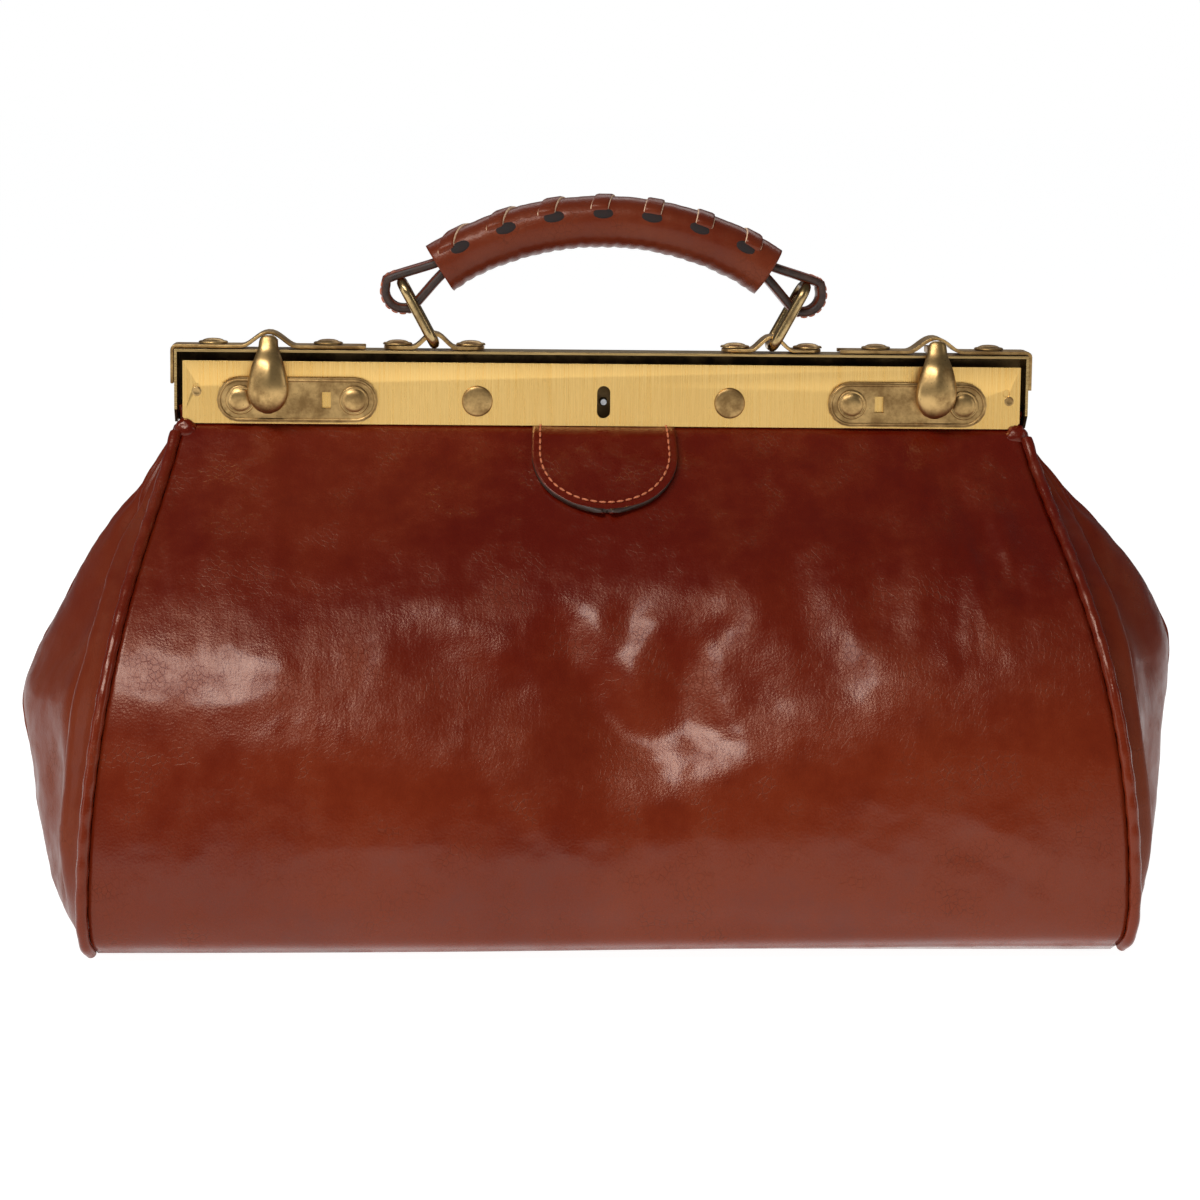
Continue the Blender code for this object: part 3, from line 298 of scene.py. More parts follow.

# %% [markdown]
# ## Waxed leather
#
# This hide is dyed a deep red brown and then waxed and polished by hand. Where the wax is rubbed thinner
# the brown comes up lighter, in broad clouds. Close up it has a fine pebble, pores and a net of hairline
# cracks. So the colour is built from broad clouds, then mottling, then the crack net, and each of these
# also changes how glossy the surface is. On the body the lower part is painted lighter as well: painted
# reflection of the bright floor, which leaves the upper slope darker red.


# %% Leather
def leather(name, deep, warm, pale, gloss=0.27, lift=1.0, paint_floor_reflection=True, shine=1.0):
    kit = Kit(name, IOR=1 + 0.46 * shine, Coat_Roughness=0.14, Specular_Tint=(1.0, 0.62, 0.44, 1))
    clouds = kit.noise(9.0, 3.0, 0.55)
    mottle = kit.noise(60.0, 7.0, 0.66)
    streaks = kit.noise(14.0, 4.0, 0.6, (3.2, 1.2, 0.8))
    grain = kit.cells(1150.0)
    pores = kit.noise(2600.0, 2.0, 0.5)
    cracks = kit.cells(520.0, "DISTANCE_TO_EDGE", (1.0, 1.0, 0.75))
    crack = kit.span(cracks, 0.0, 0.07, 0.7, 0.0) * kit.span(mottle, 0.46, 0.70)
    wrinkle = kit.noise(46.0, 5.0, 0.62, (2.0, 1.0, 0.42))
    rub_and_floor_reflection = kit.span(clouds + mottle * 0.35, 0.50, 0.86)
    # Painted reflection: below about 0.12 m the hide is painted lighter towards the floor, standing in for
    # the bright floor it reflects.
    if paint_floor_reflection:
        parts = kit.node("ShaderNodeSeparateXYZ", {}, {"Vector": kit.place}, "Z")
        low = kit.span(parts + (clouds - 0.5) * 0.06, 0.125, 0.062)
        rub_and_floor_reflection = rub_and_floor_reflection * 0.55 + low * 0.55
    colour = kit.mix(rub_and_floor_reflection, deep, warm)
    colour = kit.mix(kit.span(streaks * 0.6 + mottle * 0.5, 0.46, 0.92) * 0.34, colour, pale)
    colour = kit.mix(kit.span(mottle, 0.22, 0.52, 0.14, 0.0), colour, tuple(c * 0.55 for c in deep))
    colour = kit.mix(crack * 0.55, colour, tuple(c * 0.35 for c in deep))
    rough = kit.span(mottle, 0.3, 0.75, gloss - 0.05, gloss + 0.12) + crack * 0.15 + pores * 0.05
    height = grain * 0.32 + pores * 0.2 - crack * 0.9
    fine = kit.bump(height, 0.00016 * lift, 0.75)
    broad = kit.bump(wrinkle, 0.0006 * lift, 0.5, fine)
    waxed = kit.span(mottle, 0.25, 0.7, 0.30 * shine, 0.10 * shine)
    return kit.finish(Base_Color=colour, Roughness=rough, Normal=broad, Coat_Weight=waxed)


HIDE = leather("waxed_hide", (0.106, 0.0045, 0.0010), (0.178, 0.0195, 0.0042), (0.25, 0.045, 0.013), 0.22)
END_HIDE = leather(
    "end_hide", (0.120, 0.0090, 0.0022), (0.180, 0.030, 0.0090), (0.26, 0.060, 0.020), 0.38, 1.0, True, 0.62
)
GRIP_HIDE = leather(
    "handle_hide", (0.100, 0.009, 0.003), (0.145, 0.022, 0.007), (0.22, 0.055, 0.020), 0.29, 0.8, False, 0.8
)
print("leathers made")


# %% Edges, thread, lining, board and felt
def plain_speckle(name, dark, light, scale, rough, bump, **constants):
    kit = Kit(name, **constants)
    grain = kit.noise(scale, 4.0, 0.6)
    colour = kit.mix(kit.span(grain, 0.3, 0.7), dark, light)
    rougher = kit.span(grain, 0.3, 0.7, rough, rough + 0.12)
    return kit.finish(Base_Color=colour, Roughness=rougher, Normal=kit.bump(grain, bump))


def woven(name, dark, light, pitch):
    """Plain weave: two sets of waves crossing, with their sum broken up by slubs."""
    kit = Kit(name, Sheen_Weight=0.25)
    turns = 2 * math.pi / pitch
    sides = [kit.node("ShaderNodeSeparateXYZ", {}, {"Vector": kit.place}, axis) for axis in "XYZ"]
    warp = ((sides[0] + sides[1]) * turns).math("SINE")
    weft = (sides[2] * turns).math("SINE")
    over = warp * weft * 0.5 + 0.5
    slub = kit.noise(240.0, 3.0, 0.6)
    colour = kit.mix(kit.span(over * 0.7 + slub * 0.5, 0.25, 0.95), dark, light)
    rough = kit.span(slub, 0.3, 0.7, 0.82, 0.95)
    return kit.finish(Base_Color=colour, Roughness=rough, Normal=kit.bump(over, 0.00018))


EDGE_PAINT = plain_speckle("edge_paint", (0.022, 0.009, 0.005), (0.050, 0.022, 0.012), 420, 0.46, 0.00012)
RAW_EDGE = plain_speckle("raw_lace_edge", (0.60, 0.36, 0.20), (0.86, 0.62, 0.42), 900, 0.75, 0.00010)
# Painted shade: near black, for the shade inside the lace slots.
SLOT_SHADE = plain_speckle("slot_dark", (0.010, 0.005, 0.004), (0.022, 0.010, 0.008), 600, 0.8, 0.00005)
THREAD = plain_speckle("waxed_thread", (0.50, 0.12, 0.045), (0.64, 0.20, 0.085), 2600, 0.5, 0.00010)
BOARD = plain_speckle("base_board", (0.24, 0.16, 0.09), (0.40, 0.29, 0.18), 300, 0.85, 0.00015)
FELT = plain_speckle("handle_felt", (0.30, 0.20, 0.12), (0.48, 0.35, 0.22), 1500, 0.9, 0.00020)
CLOTH = woven("lining_weave", (0.20, 0.105, 0.05), (0.36, 0.215, 0.115), 0.0011)
print("small materials made")

# %% [markdown]
# ## Brass and steel
#
# The plate is brushed straight up and down, so its scratches are noise drawn out along Z. The fittings
# are antiqued: dipped until they go brown, then tumbled, so the brown stays in the hollows and the
# bright metal returns on the high spots.


# %% Metals
def brushed(name, dark, light, along, rough):
    kit = Kit(name, Metallic=1.0)
    hair = kit.noise(1.0, 3.0, 0.65, along)
    wide = kit.noise(11.0, 2.0, 0.5)
    stain = kit.noise(120.0, 4.0, 0.62)
    colour = kit.mix(kit.span(hair * 0.75 + wide * 0.35, 0.32, 0.78), dark, light)
    colour = kit.mix(kit.span(stain, 0.66, 0.80, 0.0, 0.35), colour, tuple(c * 0.45 for c in dark))
    rougher = kit.span(hair, 0.25, 0.75, rough - 0.07, rough + 0.12)
    return kit.finish(Base_Color=colour, Roughness=rougher, Normal=kit.bump(hair, 0.00006, 0.6))


def antiqued(name, brown, bright, rough=0.30):
    kit = Kit(name, Metallic=1.0)
    patch = kit.noise(95.0, 4.0, 0.6)
    speck = kit.noise(900.0, 3.0, 0.6)
    rubbed = kit.span(patch + speck * 0.25, 0.46, 0.82)
    colour = kit.mix(rubbed, brown, bright)
    colour = kit.mix(kit.span(speck, 0.62, 0.76, 0.0, 0.6), colour, tuple(c * 0.4 for c in brown))
    rougher = kit.span(patch, 0.3, 0.7, rough + 0.14, rough - 0.04)
    return kit.finish(Base_Color=colour, Roughness=rougher, Normal=kit.bump(speck, 0.00004, 0.5))


PLATE_BRASS = brushed("brushed_plate", (0.72, 0.42, 0.115), (0.98, 0.66, 0.24), (3600.0, 3600.0, 38.0), 0.30)
FRAME_BRASS = brushed("frame_brass", (0.30, 0.19, 0.07), (0.62, 0.43, 0.18), (60.0, 2600.0, 2600.0), 0.27)
OLD_BRASS = antiqued("antique_brass", (0.26, 0.150, 0.055), (0.62, 0.40, 0.160), 0.36)
RING_BRASS = antiqued("ring_brass", (0.24, 0.155, 0.065), (0.60, 0.43, 0.20), 0.24)
STEEL = brushed("plain_steel", (0.30, 0.30, 0.31), (0.62, 0.62, 0.63), (900.0, 900.0, 900.0), 0.30)
print("metals made")

# %% [markdown]
# ## The skins of the bag
#
# A body like this is cut from flat hides: a front and a back that each run from the frame down to the
# floor, and two ends that fold outwards into a ridge. The real skins are stretched over nothing, so
# they hold whatever dents they were last given. Here each skin is a fine grid laid along the bag's
# section, and folds and dents are added to it as height along its own normal. A wall is built inwards
# from the grid, so cut edges and the inside are real.


# %% Curves and grids
def smooth_line(points, count):
    """Evenly spaced points along a Catmull-Rom curve through the given ones, as an array."""
    points = np.array(points, float)
    ends = [2 * points[0] - points[1]], [2 * points[-1] - points[-2]]
    guide = np.concatenate([ends[0], points, ends[1]])
    fine = []
    for k in range(1, len(guide) - 2):
        a, b, c, d = guide[k - 1 : k + 3]
        for t in np.linspace(0, 1, 24, endpoint=False):
            rest = (2 * a - 5 * b + 4 * c - d) * t**2 + (3 * b - a - 3 * c + d) * t**3
            fine.append(b + ((c - a) * t + rest) / 2)
    fine = np.array([*fine, guide[-2]])
    walked = np.concatenate([[0], np.cumsum(np.linalg.norm(np.diff(fine, axis=0), axis=1))])
    at = np.linspace(0, walked[-1], count)
    return np.stack([np.interp(at, walked, fine[:, k]) for k in range(fine.shape[1])], axis=1), at


def smooth_step(value, low, high):
    t = np.clip((value - low) / (high - low), 0, 1)
    return t * t * (3 - 2 * t)


def bell(value, middle, width):
    return np.exp(-(((value - middle) / width) ** 2))


def rumple(x, y, scale, seed):
    """Smooth random heights from -1 to 1, the same on every run."""
    flat = zip(np.ravel(x), np.ravel(y))
    found = [noise.fractal(Vector((a * scale, b * scale, seed)), 0.9, 2.1, 4) for a, b in flat]
    return np.reshape(found, np.shape(x))


def grid_normals(grid):
    down = np.gradient(grid, axis=0)
    along = np.gradient(grid, axis=1)
    across = np.cross(along, down)
    return across / np.maximum(np.linalg.norm(across, axis=2, keepdims=True), 1e-12)


def grid_mesh(name, grid, flip=False, wrap=False):
    rows, columns = grid.shape[:2]
    index = np.arange(rows * columns).reshape(rows, columns)
    if wrap:
        index = np.concatenate([index, index[:, :1]], axis=1)
    quads = np.stack([index[:-1, :-1], index[:-1, 1:], index[1:, 1:], index[1:, :-1]], axis=2).reshape(-1, 4)
    mesh = bpy.data.meshes.new(name)
    mesh.from_pydata(grid.reshape(-1, 3).tolist(), [], (quads[:, ::-1] if flip else quads).tolist())
    return mesh


def piece(name, mesh, *finishes, smooth_angle=40):
    chosen = np.zeros(len(mesh.polygons), np.int32)
    mesh.polygons.foreach_get("material_index", chosen)
    mesh.materials.clear()
    for finish in finishes:
        mesh.materials.append(finish)
    mesh.polygons.foreach_set("material_index", np.minimum(chosen, len(finishes) - 1))
    mesh.shade_smooth()
    mesh.set_sharp_from_angle(angle=math.radians(smooth_angle))
    made = bpy.data.objects.new(name, mesh)
    bpy.context.scene.collection.objects.link(made)
    return made


def with_wall(made, thickness):
    wall = made.modifiers.new("wall", "SOLIDIFY")
    wall.thickness = thickness
    wall.offset = -1
    wall.use_even_offset = False
    return made


def hang_between(made, frame_body, share=None):
    """Leather that is still at the hinge's height and moves fully with the frame at the plate's foot."""
    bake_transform(made, "bag_body", frame_body, start=(0, 0, HINGE_Z), end=(0, 0, PLATE_FOOT))
    if share is not None:
        weights = np.zeros(len(made.data.vertices), np.float32)
        attribute = made.data.attributes["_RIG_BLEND"].data
        attribute.foreach_get("value", weights)
        attribute.foreach_set("value", (weights * share).astype(np.float32))


print("skin helpers ready")

# %% [markdown]
# The section below is the front of the bag seen from its end: how far the skin stands forward, how high,
# and half the bag's length at the seam there. The body has been carried and set down many times, so it
# isn't even: the left end stands a little fuller and the right end rests slightly higher.

# %% The section and the ridge
SECTION = [
    (0.0068, PLATE_FOOT - 0.0002, 0.1500),
    (0.0100, 0.1742, 0.1520),
    (0.0185, 0.1640, 0.1545),
    (0.0330, 0.1500, 0.1585),
    (0.0505, 0.1345, 0.1630),
    (0.0670, 0.1170, 0.1675),
    (0.0800, 0.0970, 0.1715),
    (0.0885, 0.0740, 0.1750),
    (0.0925, 0.0480, 0.1778),
    (0.0935, 0.0220, 0.1790),
    (0.0900, 0.0080, 0.1785),
    (0.0830, 0.0022, 0.1768),
]
RIDGE = [
    (0.1515, PLATE_FOOT - 0.0002),
    (0.1535, 0.1742),
    (0.1590, 0.1650),
    (0.1690, 0.1530),
    (0.1815, 0.1385),
    (0.1930, 0.1225),
    (0.2030, 0.1050),
    (0.2080, 0.0880),
    (0.2045, 0.0610),
    (0.2010, 0.0350),
    (0.1950, 0.0120),
    (0.1830, 0.0022),
]
BASE_HALF = (0.1715, 0.0722)
PIPING = 0.0021
ROWS = 150
section, skin_down = smooth_line(SECTION, ROWS)
ridge, _ = smooth_line(RIDGE, ROWS)
print(f"the front skin is {skin_down[-1] * 1000:.0f} mm from frame to floor")


def settle(points):
    """The whole body's own lean: the right front lifts a little and the lower left stands forward."""
    x, y, z = points[..., 0], points[..., 1], points[..., 2]
    low = 1 - smooth_step(z, 0.02, 0.150)
    near_floor = 1 - smooth_step(z, 0.0, 0.16)
    lift = 0.0015 * smooth_step(x, -0.08, 0.18) * near_floor * smooth_step(-y, 0.056, 0.086)
    swell = 0.045 * smooth_step(-x, -0.05, 0.17) - 0.020 * smooth_step(x, -0.05, 0.17)
    fuller = 1 + low * swell * (y < 0)
    return np.stack([x * (1 + 0.010 * low * (x > 0)), y * fuller, z + lift], axis=-1)


# %% [markdown]
# ### Dents and creases
#
# The main feature is one wide dent in the middle of the front, pushed in from above, which carries the
# shoulder down with it. Creases run out from its rim. Nearer the frame the hide is gathered, so it
# wrinkles up and down, most of all at the right.


# %% The front and rear panels
def crease(x, down, start, end, width, depth):
    """A pinched line from start to end, given as (x, distance below the plate), with a rolled lip."""
    start, end = np.array(start), np.array(end)
    along = end - start
    length = np.linalg.norm(along)
    along = along / length
    t = (x - start[0]) * along[0] + (down - start[1]) * along[1]
    off = (x - start[0]) * along[1] - (down - start[1]) * along[0]
    off = off + 0.06 * length * np.sin(t / length * math.pi)
    fade = smooth_step(t, -0.15 * length, 0.3 * length) * smooth_step(-t, -1.15 * length, -0.6 * length)
    return depth * fade * (0.7 * bell(off, 1.5 * width, width) - bell(off, 0, width))


FRONT_CREASES = [
    ((-0.016, 0.084), (0.004, 0.134), 0.0085, 0.0017),
    ((0.010, 0.078), (-0.002, 0.126), 0.0070, 0.0010),
    ((0.026, 0.098), (0.030, 0.136), 0.0085, 0.0011),
    ((0.064, 0.060), (0.078, 0.110), 0.0100, 0.0011),
    ((0.098, 0.044), (0.092, 0.100), 0.0105, 0.0009),
    ((-0.070, 0.094), (-0.020, 0.120), 0.0120, 0.0010),
    ((-0.120, 0.060), (-0.075, 0.052), 0.0080, 0.0005),
    ((0.118, 0.168), (0.168, 0.190), 0.0060, 0.0008),
    ((0.126, 0.016), (0.142, 0.080), 0.0060, 0.0013),
    ((0.142, 0.014), (0.160, 0.075), 0.0050, 0.0011),
    ((-0.140, 0.020), (-0.156, 0.080), 0.0055, 0.0010),
]


def front_relief(x, down):
    dent = -0.0086 * bell(x, 0.010, 0.088) * bell(down, 0.112, 0.034)
    pocket = -0.0046 * bell(x, 0.008, 0.026) * bell(down, 0.134, 0.018)
    bulge = 0.0012 * bell(x, 0.054, 0.020) * bell(down, 0.080, 0.018)
    hollow = -0.0012 * bell(x, 0.100, 0.034) * bell(down, 0.084, 0.034)
    belly = 0.0022 * bell(x, -0.02, 0.12) * bell(down, 0.165, 0.035)
    fold = -0.0030 * bell(x, 0.02, 0.16) * bell(down, 0.200 + 0.30 * (x + 0.02) ** 2, 0.012)
    total = dent + pocket + bulge + hollow + belly + fold
    for start, end, width, depth in FRONT_CREASES:
        total = total + crease(x, down, start, end, width, depth)
    return total


def rear_relief(x, down):
    dent = -0.0070 * bell(x, -0.030, 0.090) * bell(down, 0.100, 0.034)
    side = -0.0030 * bell(x, 0.085, 0.035) * bell(down, 0.120, 0.030)
    total = dent + side
    for start, end, width, depth in FRONT_CREASES[3:7]:
        total = total + crease(-x, down, start, end, width * 1.2, depth * 0.8)
    return total


def gathers(x, down):
    """Up-and-down wrinkles where the hide is gathered into the frame's ends."""
    near_end = smooth_step(np.abs(x), 0.085, 0.150) * (0.6 + 0.4 * (x > 0))
    height = smooth_step(down, 0.004, 0.030) * (1 - smooth_step(down, 0.070, 0.115))
    waves = rumple(x * 5.5, down * 1.1, 26.0, 3.1)
    return 0.0016 * near_end * height * waves


def panel_skin(word, face, relief):
    columns = 190
    u = np.linspace(-1, 1, columns)
    forward, height, half = (section[:, k][:, None] for k in range(3))
    inset = PIPING + 0.0002
    x = u[None, :] * (half - inset)
    down = np.broadcast_to(skin_down[:, None], x.shape)
    flat = np.stack([x, np.broadcast_to(face * forward, x.shape), np.broadcast_to(height, x.shape)], axis=2)
    out = grid_normals(flat) * face
    held = smooth_step(down, 0.0, 0.022) * (1 - smooth_step(down, skin_down[-1] - 0.020, skin_down[-1]))
    inside = 1 - np.abs(u[None, :]) ** 8
    rise = relief(x, down) + 0.0018 * (1 - np.abs(u[None, :]) ** 6)
    rise = rise + 0.0011 * rumple(x, down, 13.0, 7.7 * face) + 0.00028 * rumple(x, down, 55.0, 2.3 * face)
    rise = (rise + gathers(x, down)) * held * inside
    skin = settle(flat + out * rise[..., None])
    margin = (skin[0] * (1, 0, 0) + (0, face * 0.0065, plate_high.z - 0.0115))[None]
    margin[..., 2] -= 0.0095 * (1 - smooth_step(np.abs(margin[..., 0]), 0.054, 0.062)) * (face < 0)
    foot = skin[-1].copy()
    foot[:, 1], foot[:, 2] = face * (BASE_HALF[1] + 0.0012), np.minimum(foot[:, 2], 0.0018) * 0.4
    skin = np.concatenate([margin, skin, foot[None]])
    made = with_wall(piece(f"{word}_skin", grid_mesh(f"{word}_skin", skin, face < 0), HIDE), SKIN)
    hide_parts(f"{word}_panel")
    hang_between(made, f"{word}_frame")
    print(f"{word} skin: {len(made.data.polygons)} faces")
    return skin[1:-1]


front_grid = panel_skin("front", -1, front_relief)
panel_skin("rear", 1, rear_relief)

# %% [markdown]
# ### The ends
#
# An end panel is seamed to the front and the back and pushed outwards along its middle, so the bag can
# spread. Beside each seam it rolls into a soft fold that runs alongside the piping. Each end is made
# as two halves that meet on the ridge: the front half leans with the front of the frame and the rear
# half with the rear, and neither moves on the ridge itself.


# %% Gussets
GUSSET_COLUMNS = 64
BEAK_RISE = {"left": -0.012, "right": 0.010}


def gusset_half(word, side, face_word, face):
    s = np.linspace(0, 1, GUSSET_COLUMNS)[None, :] ** 0.92
    down = skin_down[:, None]
    seam_y, seam_z, seam_x = (section[:, k][:, None] for k in range(3))
    seen_height = ridge[:, 1] - BEAK_RISE[word] * bell(ridge[:, 1], 0.09, 0.05)
    beak_x = np.interp(seen_height, ridge[::-1, 1], ridge[::-1, 0])
    ridge_x = np.maximum(beak_x[:, None], seam_x)
    ridge_z = ridge[:, 1][:, None]
    sharp = 1.25 + 0.9 * np.clip((0.1 - seam_z) / 0.08, 0, 1)
    inward = 1 - s**sharp
    edge = seam_y - (PIPING + 0.0002)
    x = seam_x + (ridge_x - seam_x) * inward
    y = s * np.maximum(edge, 0.003)
    z = seam_z + (ridge_z - seam_z) * inward
    flat = np.stack([side * x, face * y, np.broadcast_to(z, x.shape)], axis=2)
    normal = grid_normals(flat)
    out = normal * np.sign(normal[..., :1] * side + 1e-9)
    width = smooth_step(seam_y, 0.012, 0.060)
    away = np.maximum(edge, 0.003) - y
    fold = 0.0042 * bell(away, 0.0125, 0.0050) - 0.0026 * bell(away, 0.0225, 0.0050)
    fold = fold - 0.0012 * bell(away, 0.0035, 0.0030)
    fold = fold * width * (1 - smooth_step(down, 0.165, 0.205))
    cheek = -0.0045 * bell(s, 0.50, 0.22) * bell(seam_z, 0.125, 0.030)
    valley = -0.0050 * bell(s, 0.55, 0.16) * bell(seam_z, 0.050, 0.026)
    crimp = 0.0016 * np.sin(s * 26 + 2.0) * bell(seam_z, 0.158, 0.012) * (1 - s) * s * 3
    rise = fold + cheek + valley + crimp
    rise = rise + 0.0011 * rumple(y, np.broadcast_to(down, x.shape), 24.0, 11.0 * face + side)
    rise = rise * smooth_step(down, 0.0, 0.02) * (1 - smooth_step(down, skin_down[-1] - 0.02, skin_down[-1]))
    rise = rise * (1 - s**14)
    skin = settle(flat + out * rise[..., None])
    top = skin[0].copy()
    top[:, 2] = PLATE_FOOT + 0.0060
    top[:, 0] = side * 0.1515
    foot = skin[-1].copy()
    foot[:, 0], foot[:, 2] = side * (BASE_HALF[0] + 0.0012), np.minimum(foot[:, 2], 0.0018) * 0.4
    foot[:, 1] = face * np.minimum(s[0] * BASE_HALF[1], BASE_HALF[1])
    skin = np.concatenate([top[None], skin, foot[None]])
    name = f"{word}_gusset_{face_word}"
    made = with_wall(piece(name, grid_mesh(name, skin, side * face > 0), END_HIDE), SKIN)
    if face < 0:
        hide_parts(f"{word}_gusset")
    share = np.broadcast_to(smooth_step(s, 0.0, 0.9), skin.shape[:2]).ravel()
    hang_between(made, f"{face_word}_frame", share)
    return skin


for word, side in SIDES:
    for face_word, face in FACES:
        gusset_half(word, side, face_word, face)
print("gussets made")


# %% [markdown]
# ### Piping and the bottom
#
# The seams are piped: a cord wrapped in a strip of the same hide and sewn into the seam, so it stands up
# as a round bead with a stitched ditch on either side.


# %% Piping
def tube(points, radius, around=14):
    """Rings of points round a line, for a round bar."""
    points = np.array(points, float)
    along = np.gradient(points, axis=0)
    along = along / np.linalg.norm(along, axis=1, keepdims=True)
    side = np.cross(along, (0.31, 0.17, 0.93))
    side = side / np.linalg.norm(side, axis=1, keepdims=True)
    other = np.cross(along, side)
    turns = np.linspace(0, 2 * math.pi, around, endpoint=False)
    radius = np.broadcast_to(radius, len(points))[:, None, None]
    rings = side[:, None] * np.cos(turns)[None, :, None] + other[:, None] * np.sin(turns)[None, :, None]
    return points[:, None] + rings * radius


def closed_bar(name, rings):
    """A mesh through rings of points, with a flat face over each end."""
    around = len(rings[0])
    mesh = grid_mesh(name, np.array(rings), wrap=True)
    shape = bmesh.new()
    shape.from_mesh(mesh)
    shape.verts.ensure_lookup_table()
    for start in (0, len(shape.verts) - around):
        shape.faces.new([shape.verts[start + k] for k in range(around)])
    bmesh.ops.recalc_face_normals(shape, faces=shape.faces)
    shape.to_mesh(mesh)
    shape.free()
    return mesh


def piping_bead(word, side, face_word, face):
    seam = section[4:]
    line = np.stack([side * seam[:, 2], face * seam[:, 0], np.maximum(seam[:, 1], PIPING + 0.0002)], axis=1)
    line = settle(line)
    swell = PIPING * (1 + 0.06 * np.sin(np.arange(len(line)) * 0.9))
    name = f"piping_bead_{face_word}_{word}"
    made = piece(name, closed_bar(name, tube(line, swell)), HIDE)
    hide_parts(f"piping_{face_word}_{word}")
    hang_between(made, f"{face_word}_frame")


for face_word, face in FACES:
    for word, side in SIDES:
        piping_bead(word, side, face_word, face)
print("piping made")


# %% Bottom
def bottom_skin():
    low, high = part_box("bottom_panel")
    u, v = np.meshgrid(np.linspace(-1, 1, 60), np.linspace(-1, 1, 30))
    x, y = u * high.x * 0.988, v * high.y * 0.985
    z = 0.0004 + 0.0003 * rumple(x, y, 14.0, 5.0) * (1 - u**8) * (1 - v**8)
    skin = settle(np.stack([x, y, np.maximum(z, 0.0)], axis=2))
    made = piece("bottom_skin", grid_mesh("bottom_skin", skin, True), HIDE)
    with_wall(made, high.z - low.z - 0.0002)
    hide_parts("bottom_panel")
    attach(made, "bag_body")


bottom_skin()
frame["nodes"]["base_board"].data.materials.clear()
frame["nodes"]["base_board"].data.materials.append(BOARD)
print("bottom made")

# %% [markdown]
# ### The lining and the lock tab
#
# The lining is a loose cotton bag inside the leather, sewn in at the mouth. It opens with the frame, so
# it is made in a front and a rear half like the leather. The lock tab is a half-round flap of the same
# hide with a painted edge. It is clamped under the plate and lies on the front skin.


# %% Lining
def lining_half(word, face):
    levels = np.array(
        [(0.1762, 0.1340, 0.0040), (0.1660, 0.1345, 0.0105), (0.1530, 0.1350, 0.0235)]
        + [(0.1390, 0.1350, 0.0375), (0.1240, 0.1350, 0.0520), (0.1060, 0.1350, 0.0650)]
        + [(0.0900, 0.1350, 0.0740), (0.0780, 0.1352, 0.0790), (0.0600, 0.1560, 0.0840)]
        + [(0.0400, 0.1680, 0.0870), (0.0180, 0.1690, 0.0860), (0.0070, 0.1660, 0.0790)]
        + [(0.0052, 0.1600, 0.0680), (0.0050, 0.0900, 0.0340), (0.0050, 0.0020, 0.0010)]
    )
    rows, _ = smooth_line(levels, 90)
    turn = np.linspace(-math.pi / 2, math.pi / 2, 121)
    blunt = 0.30
    across = np.sign(np.sin(turn)) * np.abs(np.sin(turn)) ** blunt
    outwards = np.abs(np.cos(turn)) ** blunt
    x = rows[:, 1:2] * across
    y = rows[:, 2:3] * outwards
    z = np.broadcast_to(rows[:, 0:1], x.shape)
    soft = 0.0016 * (rumple(x * 1.6, z + y, 30.0, 4.0 + face) - 1.0)
    soft = soft * smooth_step(z, 0.006, 0.03) * (1 - smooth_step(z, 0.150, 0.174))
    y = np.maximum(y + soft, 0.0) * (outwards > 0)
    skin = np.stack([x, face * y, z], axis=2)
    name = f"lining_{word}"
    made = with_wall(piece(name, grid_mesh(name, skin, face < 0), CLOTH), 0.0006)
    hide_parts("lining")
    share = np.clip(y / np.maximum(rows[:, 2:3] * 0.6, 1e-6), 0, 1).ravel()
    hang_between(made, f"{word}_frame", share)


for word, face in FACES:
    lining_half(word, face)
print("lining made")


# %% Lock tab
TAB_RADIUS, TAB_DROP, TAB_THICKNESS = 0.0272, 0.0420, 0.0017
middle_column = front_grid.shape[1] // 2
tab_line = front_grid[:, middle_column, 1:]
tab_down = np.concatenate([[0], np.cumsum(np.linalg.norm(np.diff(tab_line, axis=0), axis=1))])


def on_skin(x, down, lift):
    """A point on the front skin, x along it and down it from the plate, lifted off by this much."""
    column = np.interp(x, front_grid[40, :, 0], np.arange(front_grid.shape[1]))
    row = np.interp(down, tab_down, np.arange(len(tab_down)))
    c, r = int(min(column, front_grid.shape[1] - 2)), int(min(row, len(tab_down) - 2))
    fc, fr = column - c, row - r
    point = (front_grid[r, c] * (1 - fc) + front_grid[r, c + 1] * fc) * (1 - fr)
    point = point + (front_grid[r + 1, c] * (1 - fc) + front_grid[r + 1, c + 1] * fc) * fr
    slope = front_grid[min(r + 3, len(tab_down) - 1), c] - front_grid[max(r - 3, 0), c]
    normal = np.cross((1, 0, 0), slope)
    normal = normal / np.linalg.norm(normal)
    return point + normal * (lift if normal[1] < 0 else -lift)


def tab_outline(down):
    """Half the tab's width this far below the plate."""
    into_round = np.maximum(0.0, (down - TAB_DROP + TAB_RADIUS) / TAB_RADIUS)
    return TAB_RADIUS * np.sqrt(np.maximum(0.0, 1 - into_round**2))


def tab_lift(down):
    """The tab comes out from behind the plate, then lies on the skin."""
    return 0.0003 + TAB_THICKNESS * float(smooth_step(down, -0.001, 0.0075))


